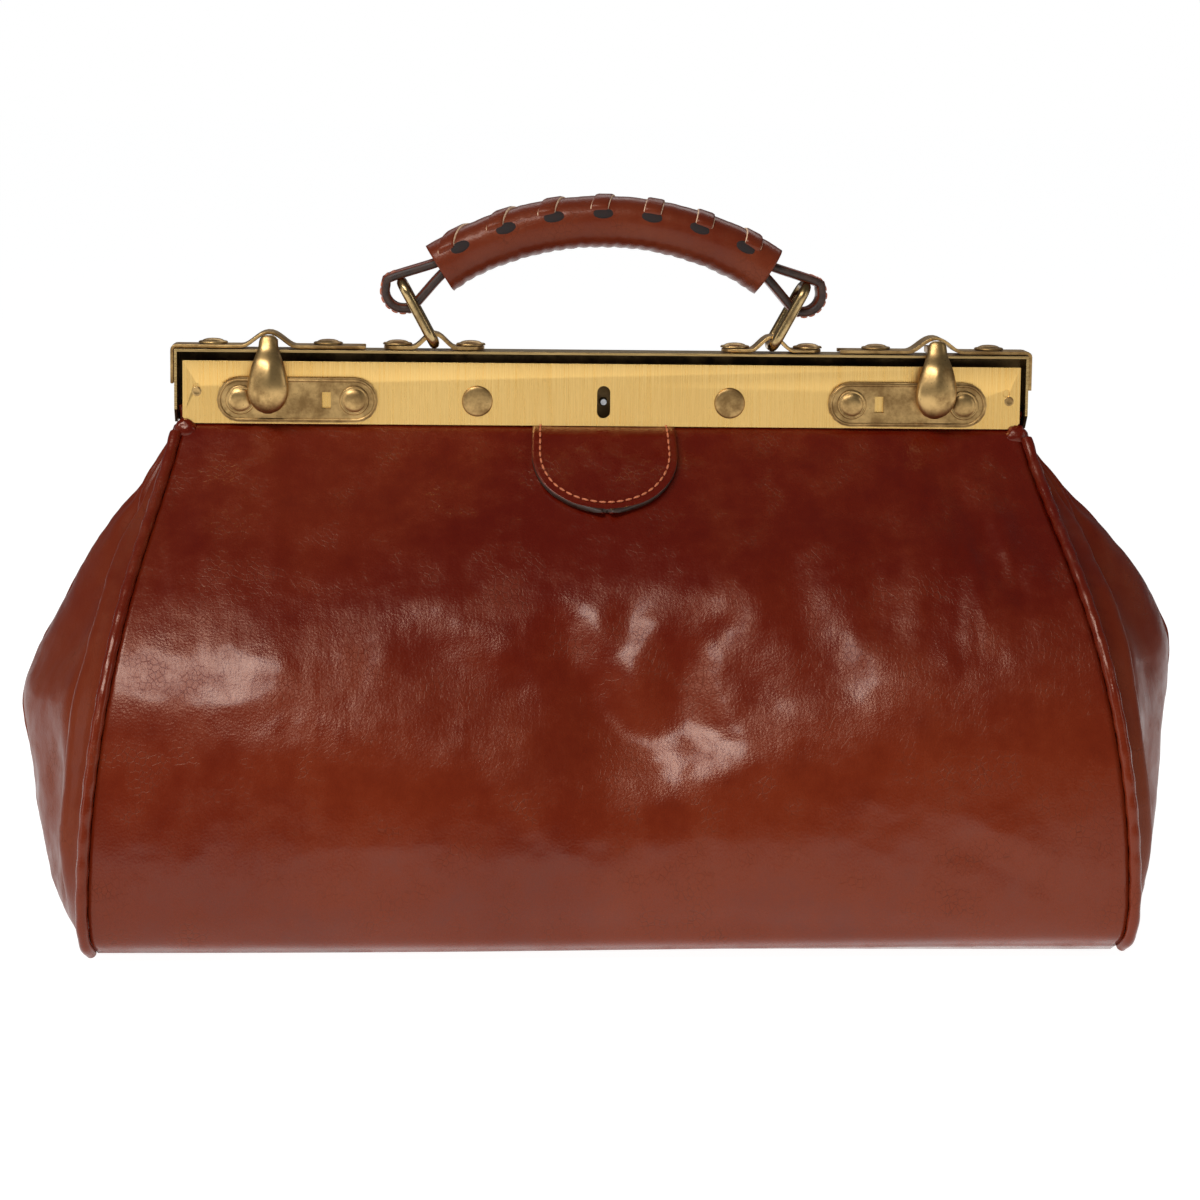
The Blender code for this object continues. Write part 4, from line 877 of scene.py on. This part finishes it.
def lock_tab():
    levels, columns = 60, 48
    fractions = 1 - (1 - np.linspace(0, 1, levels)) ** 2
    rows = []
    for down in TAB_DROP * fractions:
        half = max(tab_outline(down), 0.0012)
        row = []
        for u in np.linspace(-1, 1, columns):
            curl = 0.0005 * (down / TAB_DROP) ** 3 + 0.0003 * u**4
            row.append(on_skin(u * half, max(down, 0.0004), tab_lift(down) + curl))
        rows.append(row)
    grid = np.array(rows)
    made = piece("lock_flap", grid_mesh("lock_flap", grid, True), HIDE, EDGE_PAINT)
    wall = with_wall(made, TAB_THICKNESS).modifiers["wall"]
    wall.material_offset_rim = 1
    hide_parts("lock_tab")
    hang_between(made, "front_frame")


lock_tab()
print("lock tab made")

# %% [markdown]
# ### Stitches
#
# Saddle stitches are short fat threads that dip into the leather at each end. They follow an edge at a
# fixed distance, so a node tree suits them: it spaces points along a curve, and sets one stitch down at
# each, turned along the curve.


# %% The stitch tree
class Nodes:
    """A Geometry Nodes tree being written: add() makes a node, and sockets link as they are named."""

    def __init__(self, name, inputs):
        self.tree = bpy.data.node_groups.new(name, "GeometryNodeTree")
        self.tree.interface.new_socket("Geometry", in_out="INPUT", socket_type="NodeSocketGeometry")
        self.ids = {}
        for label, (kind, value) in inputs.items():
            socket = self.tree.interface.new_socket(label, in_out="INPUT", socket_type=f"NodeSocket{kind}")
            if value is not None:
                socket.default_value = value
            self.ids[label] = socket.identifier
        self.tree.interface.new_socket("Geometry", in_out="OUTPUT", socket_type="NodeSocketGeometry")
        self.start = self.tree.nodes.new("NodeGroupInput")
        self.end = self.tree.nodes.new("NodeGroupOutput")

    def add(self, kind, links=None, output=0, **settings):
        made = self.tree.nodes.new(kind)
        for name, value in settings.items():
            setattr(made, name, value)
        for name, value in (links or {}).items():
            if isinstance(value, bpy.types.NodeSocket):
                self.tree.links.new(value, made.inputs[name])
            else:
                made.inputs[name].default_value = value
        return made.outputs[output]

    def given(self, label):
        return self.start.outputs[label]

    def finish(self, shape, material):
        whole = self.add("GeometryNodeRealizeInstances", {0: shape})
        whole = self.add("GeometryNodeSetMaterial", {"Geometry": whole, "Material": material})
        self.tree.links.new(whole, self.end.inputs[0])


def run_tree(nodes, source, name, **values):
    """Runs a tree on an object and returns what it makes as a plain mesh object."""
    step = source.modifiers.new("nodes", "NODES")
    step.node_group = nodes.tree
    for label, value in values.items():
        step[nodes.ids[label.replace("_", " ")]] = value
    graph = bpy.context.evaluated_depsgraph_get()
    mesh = bpy.data.meshes.new_from_object(source.evaluated_get(graph))
    mesh.name = name
    bpy.data.objects.remove(source, do_unlink=True)
    mesh.shade_smooth()
    made = bpy.data.objects.new(name, mesh)
    bpy.context.scene.collection.objects.link(made)
    return made


def stitch_tree():
    sizes = {"Pitch": ("Float", 0.003), "Length": ("Float", 0.0024), "Thread": ("Float", 0.0004)}
    nodes = Nodes("stitches", {**sizes, "Finish": ("Material", None)})
    line = nodes.add("GeometryNodeMeshToCurve", {"Mesh": nodes.given("Geometry")})
    pitch = nodes.given("Pitch")
    spaced = nodes.add("GeometryNodeCurveToPoints", {"Curve": line, "Length": pitch}, mode="LENGTH")
    turned_to = spaced.node.outputs["Rotation"]
    bar = nodes.add("GeometryNodeMeshUVSphere", {"Segments": 8, "Rings": 7, "Radius": 1.0})
    half = nodes.add("ShaderNodeMath", {0: nodes.given("Length"), 1: 0.5}, operation="MULTIPLY")
    thread = nodes.given("Thread")
    scale = nodes.add("ShaderNodeCombineXYZ", {"X": thread, "Y": thread, "Z": half})
    stitch = nodes.add("GeometryNodeTransform", {"Geometry": bar, "Scale": scale})
    laid = nodes.add(
        "GeometryNodeInstanceOnPoints",
        {"Points": spaced, "Instance": stitch, "Rotation": turned_to},
    )
    nodes.finish(laid, nodes.given("Finish"))
    return nodes


STITCHES = stitch_tree()


def stitch_line(name, points, pitch=0.0031, length=0.0026, thread=0.00042):
    mesh = bpy.data.meshes.new(name)
    mesh.from_pydata([tuple(p) for p in points], [(k, k + 1) for k in range(len(points) - 1)], [])
    source = bpy.data.objects.new(name + "_line", mesh)
    bpy.context.scene.collection.objects.link(source)
    return run_tree(STITCHES, source, name, Pitch=pitch, Length=length, Thread=thread, Finish=THREAD)


def tab_stitches():
    inset = 0.0030
    reach = TAB_RADIUS - inset
    centre = TAB_DROP - TAB_RADIUS
    path = [(-reach, down) for down in np.linspace(0.0010, centre, 12, endpoint=False)]
    for turn in np.linspace(math.pi, 0, 60):
        path.append((reach * math.cos(turn), centre + reach * math.sin(turn)))
    path += [(reach, down) for down in np.linspace(centre, 0.0010, 12)][1:]
    line = []
    for x, down in path:
        curl = 0.0005 * (down / TAB_DROP) ** 3 + 0.0003
        line.append(on_skin(x, down, tab_lift(down) + curl + 0.0001))
    made = stitch_line("tab_stitches", line)
    hang_between(made, "front_frame")
    print(f"tab stitches: {len(made.data.polygons)} faces")


tab_stitches()

# %% [markdown]
# ## The brass
#
# Sheet metal is never knife sharp. Each packed plate is copied, cleaned into plain faces, and given
# rounded edges that catch a line of light. The shell is folded sheet, and the faces that look into it
# are painted dark: painted shade in the gap round the plate.


# %% Plates, straps and shell
# Painted shade: a dark brass for the faces that look into the shell, standing in for the shade in the gap
# round the plate.
INSIDE_SHADE_BRASS = antiqued("inner_brass", (0.060, 0.038, 0.018), (0.17, 0.11, 0.050), 0.45)


def body_of(name):
    return frame["nodes"][name].parent.name.split(":")[-1]


def refined(name, soften, *finishes, choose=None, slot="brushed_brass"):
    """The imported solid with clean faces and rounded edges; choose picks the finish of each face."""
    source = frame["nodes"][name]
    mesh = source.data.copy()
    mesh.name = f"{name}_worked"
    mesh.transform(source.matrix_world)
    shape = bmesh.new()
    shape.from_mesh(mesh)
    bmesh.ops.remove_doubles(shape, verts=shape.verts, dist=2e-6)
    flat = math.radians(1.5)
    bmesh.ops.dissolve_limit(shape, angle_limit=flat, verts=shape.verts, edges=shape.edges)
    for face in shape.faces:
        face.material_index = choose(face) if choose else 0
    shape.to_mesh(mesh)
    shape.free()
    made = piece(mesh.name, mesh, *finishes, smooth_angle=32)
    if soften:
        edge = made.modifiers.new("rounded", "BEVEL")
        edge.width, edge.segments, edge.angle_limit = soften, 3, math.radians(35)
        edge.harden_normals = True
    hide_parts(name)
    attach(made, body_of(name))
    return made


# Picks the shell's faces that look into it; these get the painted shade.
def shaded_inside_shell(face):
    middle = face.calc_center_median()
    looks_in = face.normal.y * (middle.y - 0.0002) < -1e-5 or face.normal.z < -0.5
    return int(looks_in and abs(middle.y) < 0.0079)


refined("front_plate", 0.0005, PLATE_BRASS)
refined("rear_frame_shell", 0.0003, FRAME_BRASS, INSIDE_SHADE_BRASS, choose=shaded_inside_shell)
for word, side in SIDES:
    refined(f"{word}_top_strap", 0.00035, OLD_BRASS, slot="antique_brass")
    refined(f"{word}_ring_bracket", 0.00035, OLD_BRASS, slot="antique_brass")
    refined(f"{word}_catch_plate", 0.0003, OLD_BRASS, slot="antique_brass")
    refined(f"{word}_catch_hinge", 0.0002, OLD_BRASS, slot="antique_brass")
# The lock case is given the same dark brass as the painted shade in the shell.
refined("lock_case", 0.0002, INSIDE_SHADE_BRASS, slot="steel")
plain = {"steel": STEEL, "brushed_brass": PLATE_BRASS, "antique_brass": OLD_BRASS, "padding": FELT}
for name, node in frame["nodes"].items():
    slot = node.data.materials[0].name.split(".")[0] if node.data.materials else ""
    if slot in plain and not node.hide_render:
        node.data.materials[0] = plain[slot]
        print("kept as packed:", name, slot)


# %% [markdown]
# ### Rivets, rims and dimples
#
# Every fitting is held by riveted heads with a stepped rim. One head is turned on a lathe and a node tree
# sets it down at each place, so there is one mesh for each set of heads.


# %% Turned shapes
def turned(name, profile, around=32):
    """A shape turned about +Z from (radius, height) pairs, closed on the axis."""
    turns = np.linspace(0, 2 * math.pi, around, endpoint=False)
    inner = np.array(profile[1:-1])
    x = inner[:, 0:1] * np.cos(turns)
    y = inner[:, 0:1] * np.sin(turns)
    z = np.broadcast_to(inner[:, 1:2], x.shape)
    mesh = grid_mesh(name, np.stack([x, y, z], axis=2), wrap=True)
    shape = bmesh.new()
    shape.from_mesh(mesh)
    rim_verts = list(shape.verts)
    for end, ring in ((profile[0], rim_verts[:around]), (profile[-1], rim_verts[-around:])):
        tip = shape.verts.new((0, 0, end[1]))
        for k in range(around):
            shape.faces.new((ring[k], ring[(k + 1) % around], tip))
    bmesh.ops.recalc_face_normals(shape, faces=shape.faces)
    shape.to_mesh(mesh)
    shape.free()
    mesh.shade_smooth()
    mesh.set_sharp_from_angle(angle=math.radians(50))
    return mesh


def place_tree():
    kinds = {"Shape": "Object", "Turn": "Vector", "Finish": "Material"}
    nodes = Nodes("set_down", {label: (kind, None) for label, kind in kinds.items()})
    info = nodes.add("GeometryNodeObjectInfo", {"Object": nodes.given("Shape")}, 4)
    turn = nodes.add("FunctionNodeEulerToRotation", {0: nodes.given("Turn")})
    laid = nodes.add(
        "GeometryNodeInstanceOnPoints",
        {"Points": nodes.given("Geometry"), "Instance": info, "Rotation": turn},
    )
    nodes.finish(laid, nodes.given("Finish"))
    return nodes


PLACE = place_tree()


def set_down(name, places, profile, turn, finish, body, replaced=()):
    model = bpy.data.objects.new(name + "_model", turned(name + "_model", profile))
    bpy.context.scene.collection.objects.link(model)
    mesh = bpy.data.meshes.new(name)
    mesh.from_pydata(places, [], [])
    source = bpy.data.objects.new(name + "_places", mesh)
    bpy.context.scene.collection.objects.link(source)
    made = run_tree(PLACE, source, name, Shape=model, Turn=turn, Finish=finish)
    bpy.data.objects.remove(model, do_unlink=True)
    made.data.set_sharp_from_angle(angle=math.radians(50))
    for node in replaced:
        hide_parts(node)
    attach(made, body)
    print(f"{name}: {len(places)} places, {len(made.data.polygons)} faces")


def head(radius, dome, shank):
    """A domed head with a stepped rim, on a shank."""
    steps = [(0, 1.0), (0.22, 0.985), (0.42, 0.92), (0.58, 0.80), (0.70, 0.62), (0.77, 0.44)]
    steps += [(0.80, 0.36), (0.83, 0.35), (0.86, 0.42), (0.92, 0.42), (0.97, 0.34), (1.0, 0.18), (1.0, 0.0)]
    outline = [(r * radius, h * dome) for r, h in steps]
    return outline + [(0.0020, 0.0), (0.0020, -shank), (0, -shank)]


def centre_of(name):
    low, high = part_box(name)
    return (low + high) / 2, low, high


def rivet_nodes(*rows):
    return [f"{row}_rivet_{w}_{p}" for row in rows for w in ("left", "right") for p in ("inner", "outer")]


UPRIGHT, FACING_FRONT = (0, 0, 0), (math.pi / 2, 0, 0)
DOME, FLAT_DOME = 0.0017, 0.0009
DOMED_HEAD = head(0.00525, DOME, 0.0024)
FLAT_HEAD = [(0, FLAT_DOME), (0.0022, 0.00088), (0.0042, 0.00074), (0.0050, 0.00058), (0.0054, 0.0003)]
FLAT_HEAD += [(0.0055, 0), (0.0020, 0.0), (0.0020, -0.0014), (0, -0.0014)]
DIMPLE = [(0, 0.00002), (0.0006, 0.00003), (0.0010, 0.00010), (0.0013, 0.00016), (0.0016, 0.00008)]
DIMPLE += [(0.0017, 0), (0.0014, -0.0003), (0, -0.0003)]


def fasten(name, places, profile, turn, body, replaced=()):
    set_down(name, places, profile, turn, OLD_BRASS, body, replaced)


names = rivet_nodes("top_strap", "bracket")
places = [(c.x, c.y, high.z - DOME) for c, low, high in map(centre_of, names)]
fasten("top_rivets", places, DOMED_HEAD, UPRIGHT, "rear_frame", names)
names = rivet_nodes("catch_plate")
places = [(c.x, low.y + DOME, c.z) for c, low, high in map(centre_of, names)]
fasten("catch_rivets", places, DOMED_HEAD, FACING_FRONT, "front_frame", names)
names = ["lock_rivet_left", "lock_rivet_right"]
places = [(c.x, low.y + FLAT_DOME, c.z) for c, low, high in map(centre_of, names)]
fasten("lock_rivets", places, FLAT_HEAD, FACING_FRONT, "front_frame", names)
places = [(-0.1450, plate_low.y, 0.1880), (0.1460, plate_low.y, 0.1868)]
fasten("plate_dimples", places, DIMPLE, FACING_FRONT, "front_frame")


# %% Raised rims of the catch plates
def loop_tube(name, path, radius, finish, around=12):
    """A round wire that closes on itself."""
    path = np.array(path, float)
    along = np.roll(path, -1, axis=0) - np.roll(path, 1, axis=0)
    along = along / np.linalg.norm(along, axis=1, keepdims=True)
    flat = np.cross(path[len(path) // 3] - path[0], path[2 * len(path) // 3] - path[0])
    flat = flat / np.linalg.norm(flat)
    side = np.cross(along, flat)
    turns = np.linspace(0, 2 * math.pi, around, endpoint=False)
    rings = side[:, None] * np.cos(turns)[None, :, None] + flat * np.sin(turns)[None, :, None]
    grid = path[:, None] + rings * radius
    grid = np.concatenate([grid, grid[:1]])
    mesh = grid_mesh(name, grid, wrap=True)
    shape = bmesh.new()
    shape.from_mesh(mesh)
    bmesh.ops.remove_doubles(shape, verts=shape.verts, dist=1e-7)
    bmesh.ops.recalc_face_normals(shape, faces=shape.faces)
    shape.to_mesh(mesh)
    shape.free()
    return piece(name, mesh, finish, smooth_angle=70)


def oblong(half_x, half_z, corner, count=12):
    """A rounded oblong as (x, z) pairs."""
    path = []
    for quarter, (sx, sz) in enumerate(((1, 1), (-1, 1), (-1, -1), (1, -1))):
        middle_x, middle_z = sx * (half_x - corner), sz * (half_z - corner)
        for t in np.linspace(0, math.pi / 2, count):
            a = t + quarter * math.pi / 2
            path.append((middle_x + corner * math.cos(a), middle_z + corner * math.sin(a)))
    return path


for word, side in SIDES:
    c, low, high = centre_of(f"{word}_catch_plate")
    outline = oblong((high.x - low.x) / 2 - 0.0010, (high.z - low.z) / 2 - 0.0010, 0.00695, 16)
    path = [(c.x + x, low.y + 0.0001, c.z + z) for x, z in outline]
    rim = loop_tube(f"{word}_catch_rim", path, 0.00055, OLD_BRASS, 10)
    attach(rim, "front_frame")
print("rims made")

# %% [markdown]
# ### Levers and rings
#
# The levers are cast drops with a soft ridge down the middle. The rings are round wire bent to an
# oblong.


# %% Levers
LEVER = [
    (0.0020, 0.0018, 0.0011, 0.0000),
    (0.0012, 0.0028, 0.0017, 0.0000),
    (0.0000, 0.0033, 0.0021, 0.0001),
    (-0.0030, 0.0038, 0.0023, 0.0014),
    (-0.0070, 0.0053, 0.0027, 0.0040),
    (-0.0120, 0.0067, 0.0031, 0.0053),
    (-0.0170, 0.0073, 0.0032, 0.0058),
    (-0.0210, 0.0064, 0.0029, 0.0055),
    (-0.0240, 0.0042, 0.0021, 0.0050),
    (-0.0255, 0.0012, 0.0008, 0.0046),
]


def lever_piece(word, lean):
    pin, _, _ = centre_of(f"{word}_catch_pin")
    levels, _ = smooth_line(LEVER, 56)
    turns = np.linspace(0, 2 * math.pi, 36, endpoint=False)
    rings = []
    for height, half_width, half_depth, forward in levels:
        ridged = 1 + 0.16 * np.maximum(np.cos(turns), 0) ** 14 * smooth_step(-height, 0.002, 0.010)
        x = pin.x + lean * height + half_width * np.sin(turns)
        y = pin.y - forward - half_depth * np.cos(turns) * ridged
        rings.append(np.stack([x, y, np.full_like(x, pin.z + height)], axis=1))
    name = f"{word}_drop_lever"
    made = piece(name, closed_bar(name, rings), OLD_BRASS, smooth_angle=60)
    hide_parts(f"{word}_catch_lever")
    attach(made, f"{word}_catch")


lever_piece("left", 0.0)
lever_piece("right", 0.045)


# %% Rings
WIRE, RING_CORNER = 0.00185, 0.0046
RING_FOOT_X, RING_TOP_X = 0.0606, 0.07229
for word, side in SIDES:
    low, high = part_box(f"{word}_ring")
    foot = Vector((side * RING_FOOT_X, (low.y + high.y) / 2, low.z + WIRE))
    top = Vector((side * RING_TOP_X, (low.y + high.y) / 2, high.z - WIRE))
    up = (top - foot).normalized()
    half = (top - foot).length / 2
    middle = (top + foot) / 2
    outline = oblong((high.y - low.y) / 2 - WIRE, half, RING_CORNER, 14)
    path = [middle + Vector((0, y, 0)) + up * z for y, z in outline]
    ring = loop_tube(f"{word}_wire_ring", path, WIRE, RING_BRASS, 18)
    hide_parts(f"{word}_ring")
    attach(ring, f"{word}_ring_link")
print("levers and rings made")

# %% [markdown]
# ## The handle
#
# The handle is a strap of two plies over a core, with a tube of hide laced shut along its top. The
# lace shows as short bands that come over the top and go into slots down the front. The plies part at
# each end and close round a ring, and there the strap's cut edges are painted dark and it is stitched.


# %% The handle's arc
ARC_RADIUS, ARC_CROWN, HANDLE_Y = 0.111, 0.2506, 0.0010
GRIP_HALF, COVER_LIFT = math.radians(32.5), -0.0012
GRIP_DEPTH, GRIP_RISE = 0.0090, 0.00775
LACE_BANDS, LACE_PITCH = 7, math.radians(8.9)
LACE_ANGLES = [(k - (LACE_BANDS - 1) / 2) * LACE_PITCH for k in range(LACE_BANDS)]


def on_arc(angle, lift, depth=0.0):
    r = ARC_RADIUS + lift
    return (r * math.sin(angle), HANDLE_Y + depth, ARC_CROWN - ARC_RADIUS + r * math.cos(angle))


def grip_section(turn, grow=0.0):
    """Depth and lift of the grip's outside at this turn from straight up, front being negative."""
    power = 2 / 2.35
    s, c = np.sin(turn), np.cos(turn)
    depth = -(GRIP_DEPTH + grow) * np.sign(s) * np.abs(s) ** power
    return depth, COVER_LIFT + (GRIP_RISE + grow) * np.sign(c) * np.abs(c) ** power


def grip_cover():
    rows, around = 150, 56
    angles = np.linspace(-GRIP_HALF, GRIP_HALF, rows)[:, None]
    turns = np.linspace(0, 2 * math.pi, around, endpoint=False)[None, :]
    depth, lift = grip_section(turns)
    pinch = np.zeros((rows, around))
    for middle in LACE_ANGLES:
        pinch = pinch + bell(angles, middle, 0.030) * (0.5 + 0.5 * np.cos(turns))
    end = smooth_step(np.abs(angles), GRIP_HALF - 0.10, GRIP_HALF)
    ripple = np.sin(angles * 150 + 2.0 * np.sin(turns * 2)) * 0.00008 * (1 - np.cos(turns))
    soft = 0.00022 * rumple(angles * 1.1, np.broadcast_to(turns, pinch.shape) * 0.05, 14.0, 2.0)
    swell = 1 + (0.020 * (1 - pinch) + 0.06 * end * (0.5 - 0.5 * np.cos(turns)) - 0.01)
    r = ARC_RADIUS + COVER_LIFT + (lift - COVER_LIFT) * swell + (ripple + soft) * np.sign(lift - COVER_LIFT)
    y = HANDLE_Y + depth * swell * 0.985
    x = r * np.sin(angles)
    z = ARC_CROWN - ARC_RADIUS + r * np.cos(angles)
    grid = np.stack([x, np.broadcast_to(y, x.shape), z], axis=2)
    mesh = grid_mesh("grip_cover", grid, flip=True, wrap=True)
    made = piece("grip_cover", mesh, GRIP_HIDE, EDGE_PAINT)
    wall = with_wall(made, 0.0013).modifiers["wall"]
    wall.material_offset_rim = 1
    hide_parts("handle_cover")
    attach(made, "handle")
    print(f"grip cover: {len(mesh.polygons)} faces")


grip_cover()


# %% Lacing
def ribbon(name, path, across, width, thickness, bow=0.10):
    """A flat strip along a path, with its cut edges in a second finish."""
    path = np.array(path, float)
    across = np.array(across, float) / np.linalg.norm(across)
    along = np.gradient(path, axis=0)
    up = np.cross(across, along)
    up = up / np.linalg.norm(up, axis=1, keepdims=True)
    soft = 0.5 * thickness / (width / 2)
    side = ((1 - soft, 0.5), (1 - 0.3 * soft, 0.38), (1, 0.0), (1 - 0.3 * soft, -0.38), (1 - soft, -0.5))
    corners = [(0, 0.5 + bow), *side, (0, -0.5)] + [(-a, b) for a, b in side[::-1]]
    rings = [path + across * (width / 2 * a) + up * (thickness * b) for a, b in corners]
    mesh = grid_mesh(name, np.stack(rings, axis=1), wrap=True)
    shape = bmesh.new()
    shape.from_mesh(mesh)
    bmesh.ops.recalc_face_normals(shape, faces=shape.faces)
    cut = Vector(across)
    for face in shape.faces:
        face.material_index = int(abs(face.normal.dot(cut)) > 0.45)
    shape.to_mesh(mesh)
    shape.free()
    return mesh


def handle_part(name, meshes, *finishes, replaced=None):
    """Several meshes as one piece of the handle."""
    shape = bmesh.new()
    for mesh in meshes:
        shape.from_mesh(mesh)
        bpy.data.meshes.remove(mesh)
    whole = bpy.data.meshes.new(name)
    shape.to_mesh(whole)
    shape.free()
    made = piece(name, whole, *finishes, smooth_angle=50)
    if replaced:
        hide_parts(replaced)
    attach(made, "handle")
    return made


def lacing():
    bands = []
    for k, middle in enumerate(LACE_ANGLES):
        tilt = 0.010 * (k - 3) - 0.02
        path = []
        for t in np.linspace(-0.95, 1.22, 34):
            sink = 0.0030 * smooth_step(t, 1.00, 1.22) + 0.0020 * smooth_step(-t, 0.75, 0.95)
            depth, lift = grip_section(t, 0.0011 - sink)
            path.append(on_arc(middle + tilt * t, lift, depth))
        across = (math.cos(middle), 0, -math.sin(middle))
        bands.append(ribbon(f"band_{k}", path, across, 0.0066, 0.0021, -0.12))
    made = handle_part("lace_bands", bands, GRIP_HIDE, RAW_EDGE, replaced="handle_lacing")
    print(f"lacing: {len(made.data.polygons)} faces")


def lace_slots():
    """Painted shade: a dark flat oval where each band goes into its slot, for the shade inside the slot."""
    slots = []
    for k, middle in enumerate(LACE_ANGLES):
        depth, lift = grip_section(1.24, 0.00075)
        centre = Vector(on_arc(middle - 0.010, lift, depth))
        shape = bmesh.new()
        bmesh.ops.create_uvsphere(shape, u_segments=20, v_segments=8, radius=1)
        spread = Matrix.Diagonal((0.0044, 0.0021, 0.0008, 1))
        lean = Matrix.Rotation(math.radians(68), 4, "X")
        place = Matrix.Translation(centre) @ Matrix.Rotation(middle, 4, "Y") @ lean
        bmesh.ops.transform(shape, matrix=place @ spread, verts=shape.verts)
        mesh = bpy.data.meshes.new(f"slot_{k}")
        shape.to_mesh(mesh)
        shape.free()
        slots.append(mesh)
    handle_part("lace_slots", slots, SLOT_SHADE)


lacing()
lace_slots()


# %% Strap and its stitches
LOOP_X, LOOP_Z, LOOP_OUTSIDE = RING_TOP_X - 0.0006, 0.22418, 0.0080
STRAP_WIDTH, STRAP_PLY = 0.0130, 0.0031


def strap_line(side):
    """Down the middle of the strap's thickness: out of the grip, round the ring and back in."""
    inside = [on_arc(a, 0.0008)[::2] for a in (GRIP_HALF - 0.22, GRIP_HALF - 0.10, GRIP_HALF - 0.01)]
    r = LOOP_OUTSIDE - STRAP_PLY / 2
    turns = [math.radians(t) for t in (46, 20, -10, -40, -70, -100, -125)]
    loop = [(LOOP_X + r * math.cos(t), LOOP_Z + r * math.sin(t)) for t in turns]
    back = [on_arc(a, -0.0032)[::2] for a in (GRIP_HALF - 0.01, GRIP_HALF - 0.10, GRIP_HALF - 0.20)]
    line, _ = smooth_line(inside + loop + back, 90)
    return [(side * x, HANDLE_Y, z) for x, z in line]


def strap_piece():
    through = [on_arc(a, -0.0010) for a in np.linspace(-GRIP_HALF + 0.1, GRIP_HALF - 0.1, 40)]
    lines = [strap_line(-1), through, strap_line(1)]
    bands = [ribbon(f"ply_{k}", line, (0, 1, 0), STRAP_WIDTH, STRAP_PLY) for k, line in enumerate(lines)]
    handle_part("grip_strap", bands, GRIP_HIDE, EDGE_PAINT, replaced="handle_strap")


strap_piece()


def loop_stitches():
    """Two rows over each end of the strap, from the grip round to the underside of the loop."""
    meshes = []
    for word, side in SIDES:
        for row, depth in (("front", -0.0040), ("back", 0.0040)):
            from_grip = np.linspace(GRIP_HALF + 0.006, GRIP_HALF + 0.055, 6)
            path = [on_arc(a, 0.0019, depth) for a in from_grip]
            path = [(x, y, z) for x, y, z in path if x < LOOP_X]
            for degrees in np.linspace(52, -110, 30):
                t = math.radians(degrees)
                r = LOOP_OUTSIDE + 0.0001
                path.append((LOOP_X + r * math.cos(t), HANDLE_Y + depth, LOOP_Z + r * math.sin(t)))
            path = [(side * x, y, z) for x, y, z in path]
            line = stitch_line(f"loop_{word}_{row}", path, 0.0029, 0.0024, 0.00040)
            meshes.append(line.data.copy())
            bpy.data.objects.remove(line, do_unlink=True)
    handle_part("loop_stitches", meshes, THREAD)


loop_stitches()
frame["nodes"]["handle_core"].data.materials[0] = FELT
print("handle made")


# %% [markdown]
# At each lower corner of the plate the hide is pinched into a small puff where it goes under the brass.

# %% Corner puffs
for word, side in SIDES:
    shape = bmesh.new()
    bmesh.ops.create_uvsphere(shape, u_segments=28, v_segments=18, radius=1)
    for vert in shape.verts:
        bump = 1 + 0.12 * noise.noise(vert.co * 2.6 + Vector((side, 0, 0)))
        vert.co = Vector((vert.co.x * 0.0046, vert.co.y * 0.0034, vert.co.z * 0.0050)) * bump
        vert.co += Vector((side * 0.1490, -0.0080, PLATE_FOOT - 0.0036))
    mesh = bpy.data.meshes.new(f"{word}_puff")
    shape.to_mesh(mesh)
    shape.free()
    puff = piece(f"{word}_corner_puff", mesh, HIDE)
    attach(puff, "front_frame")
print("corner puffs made")
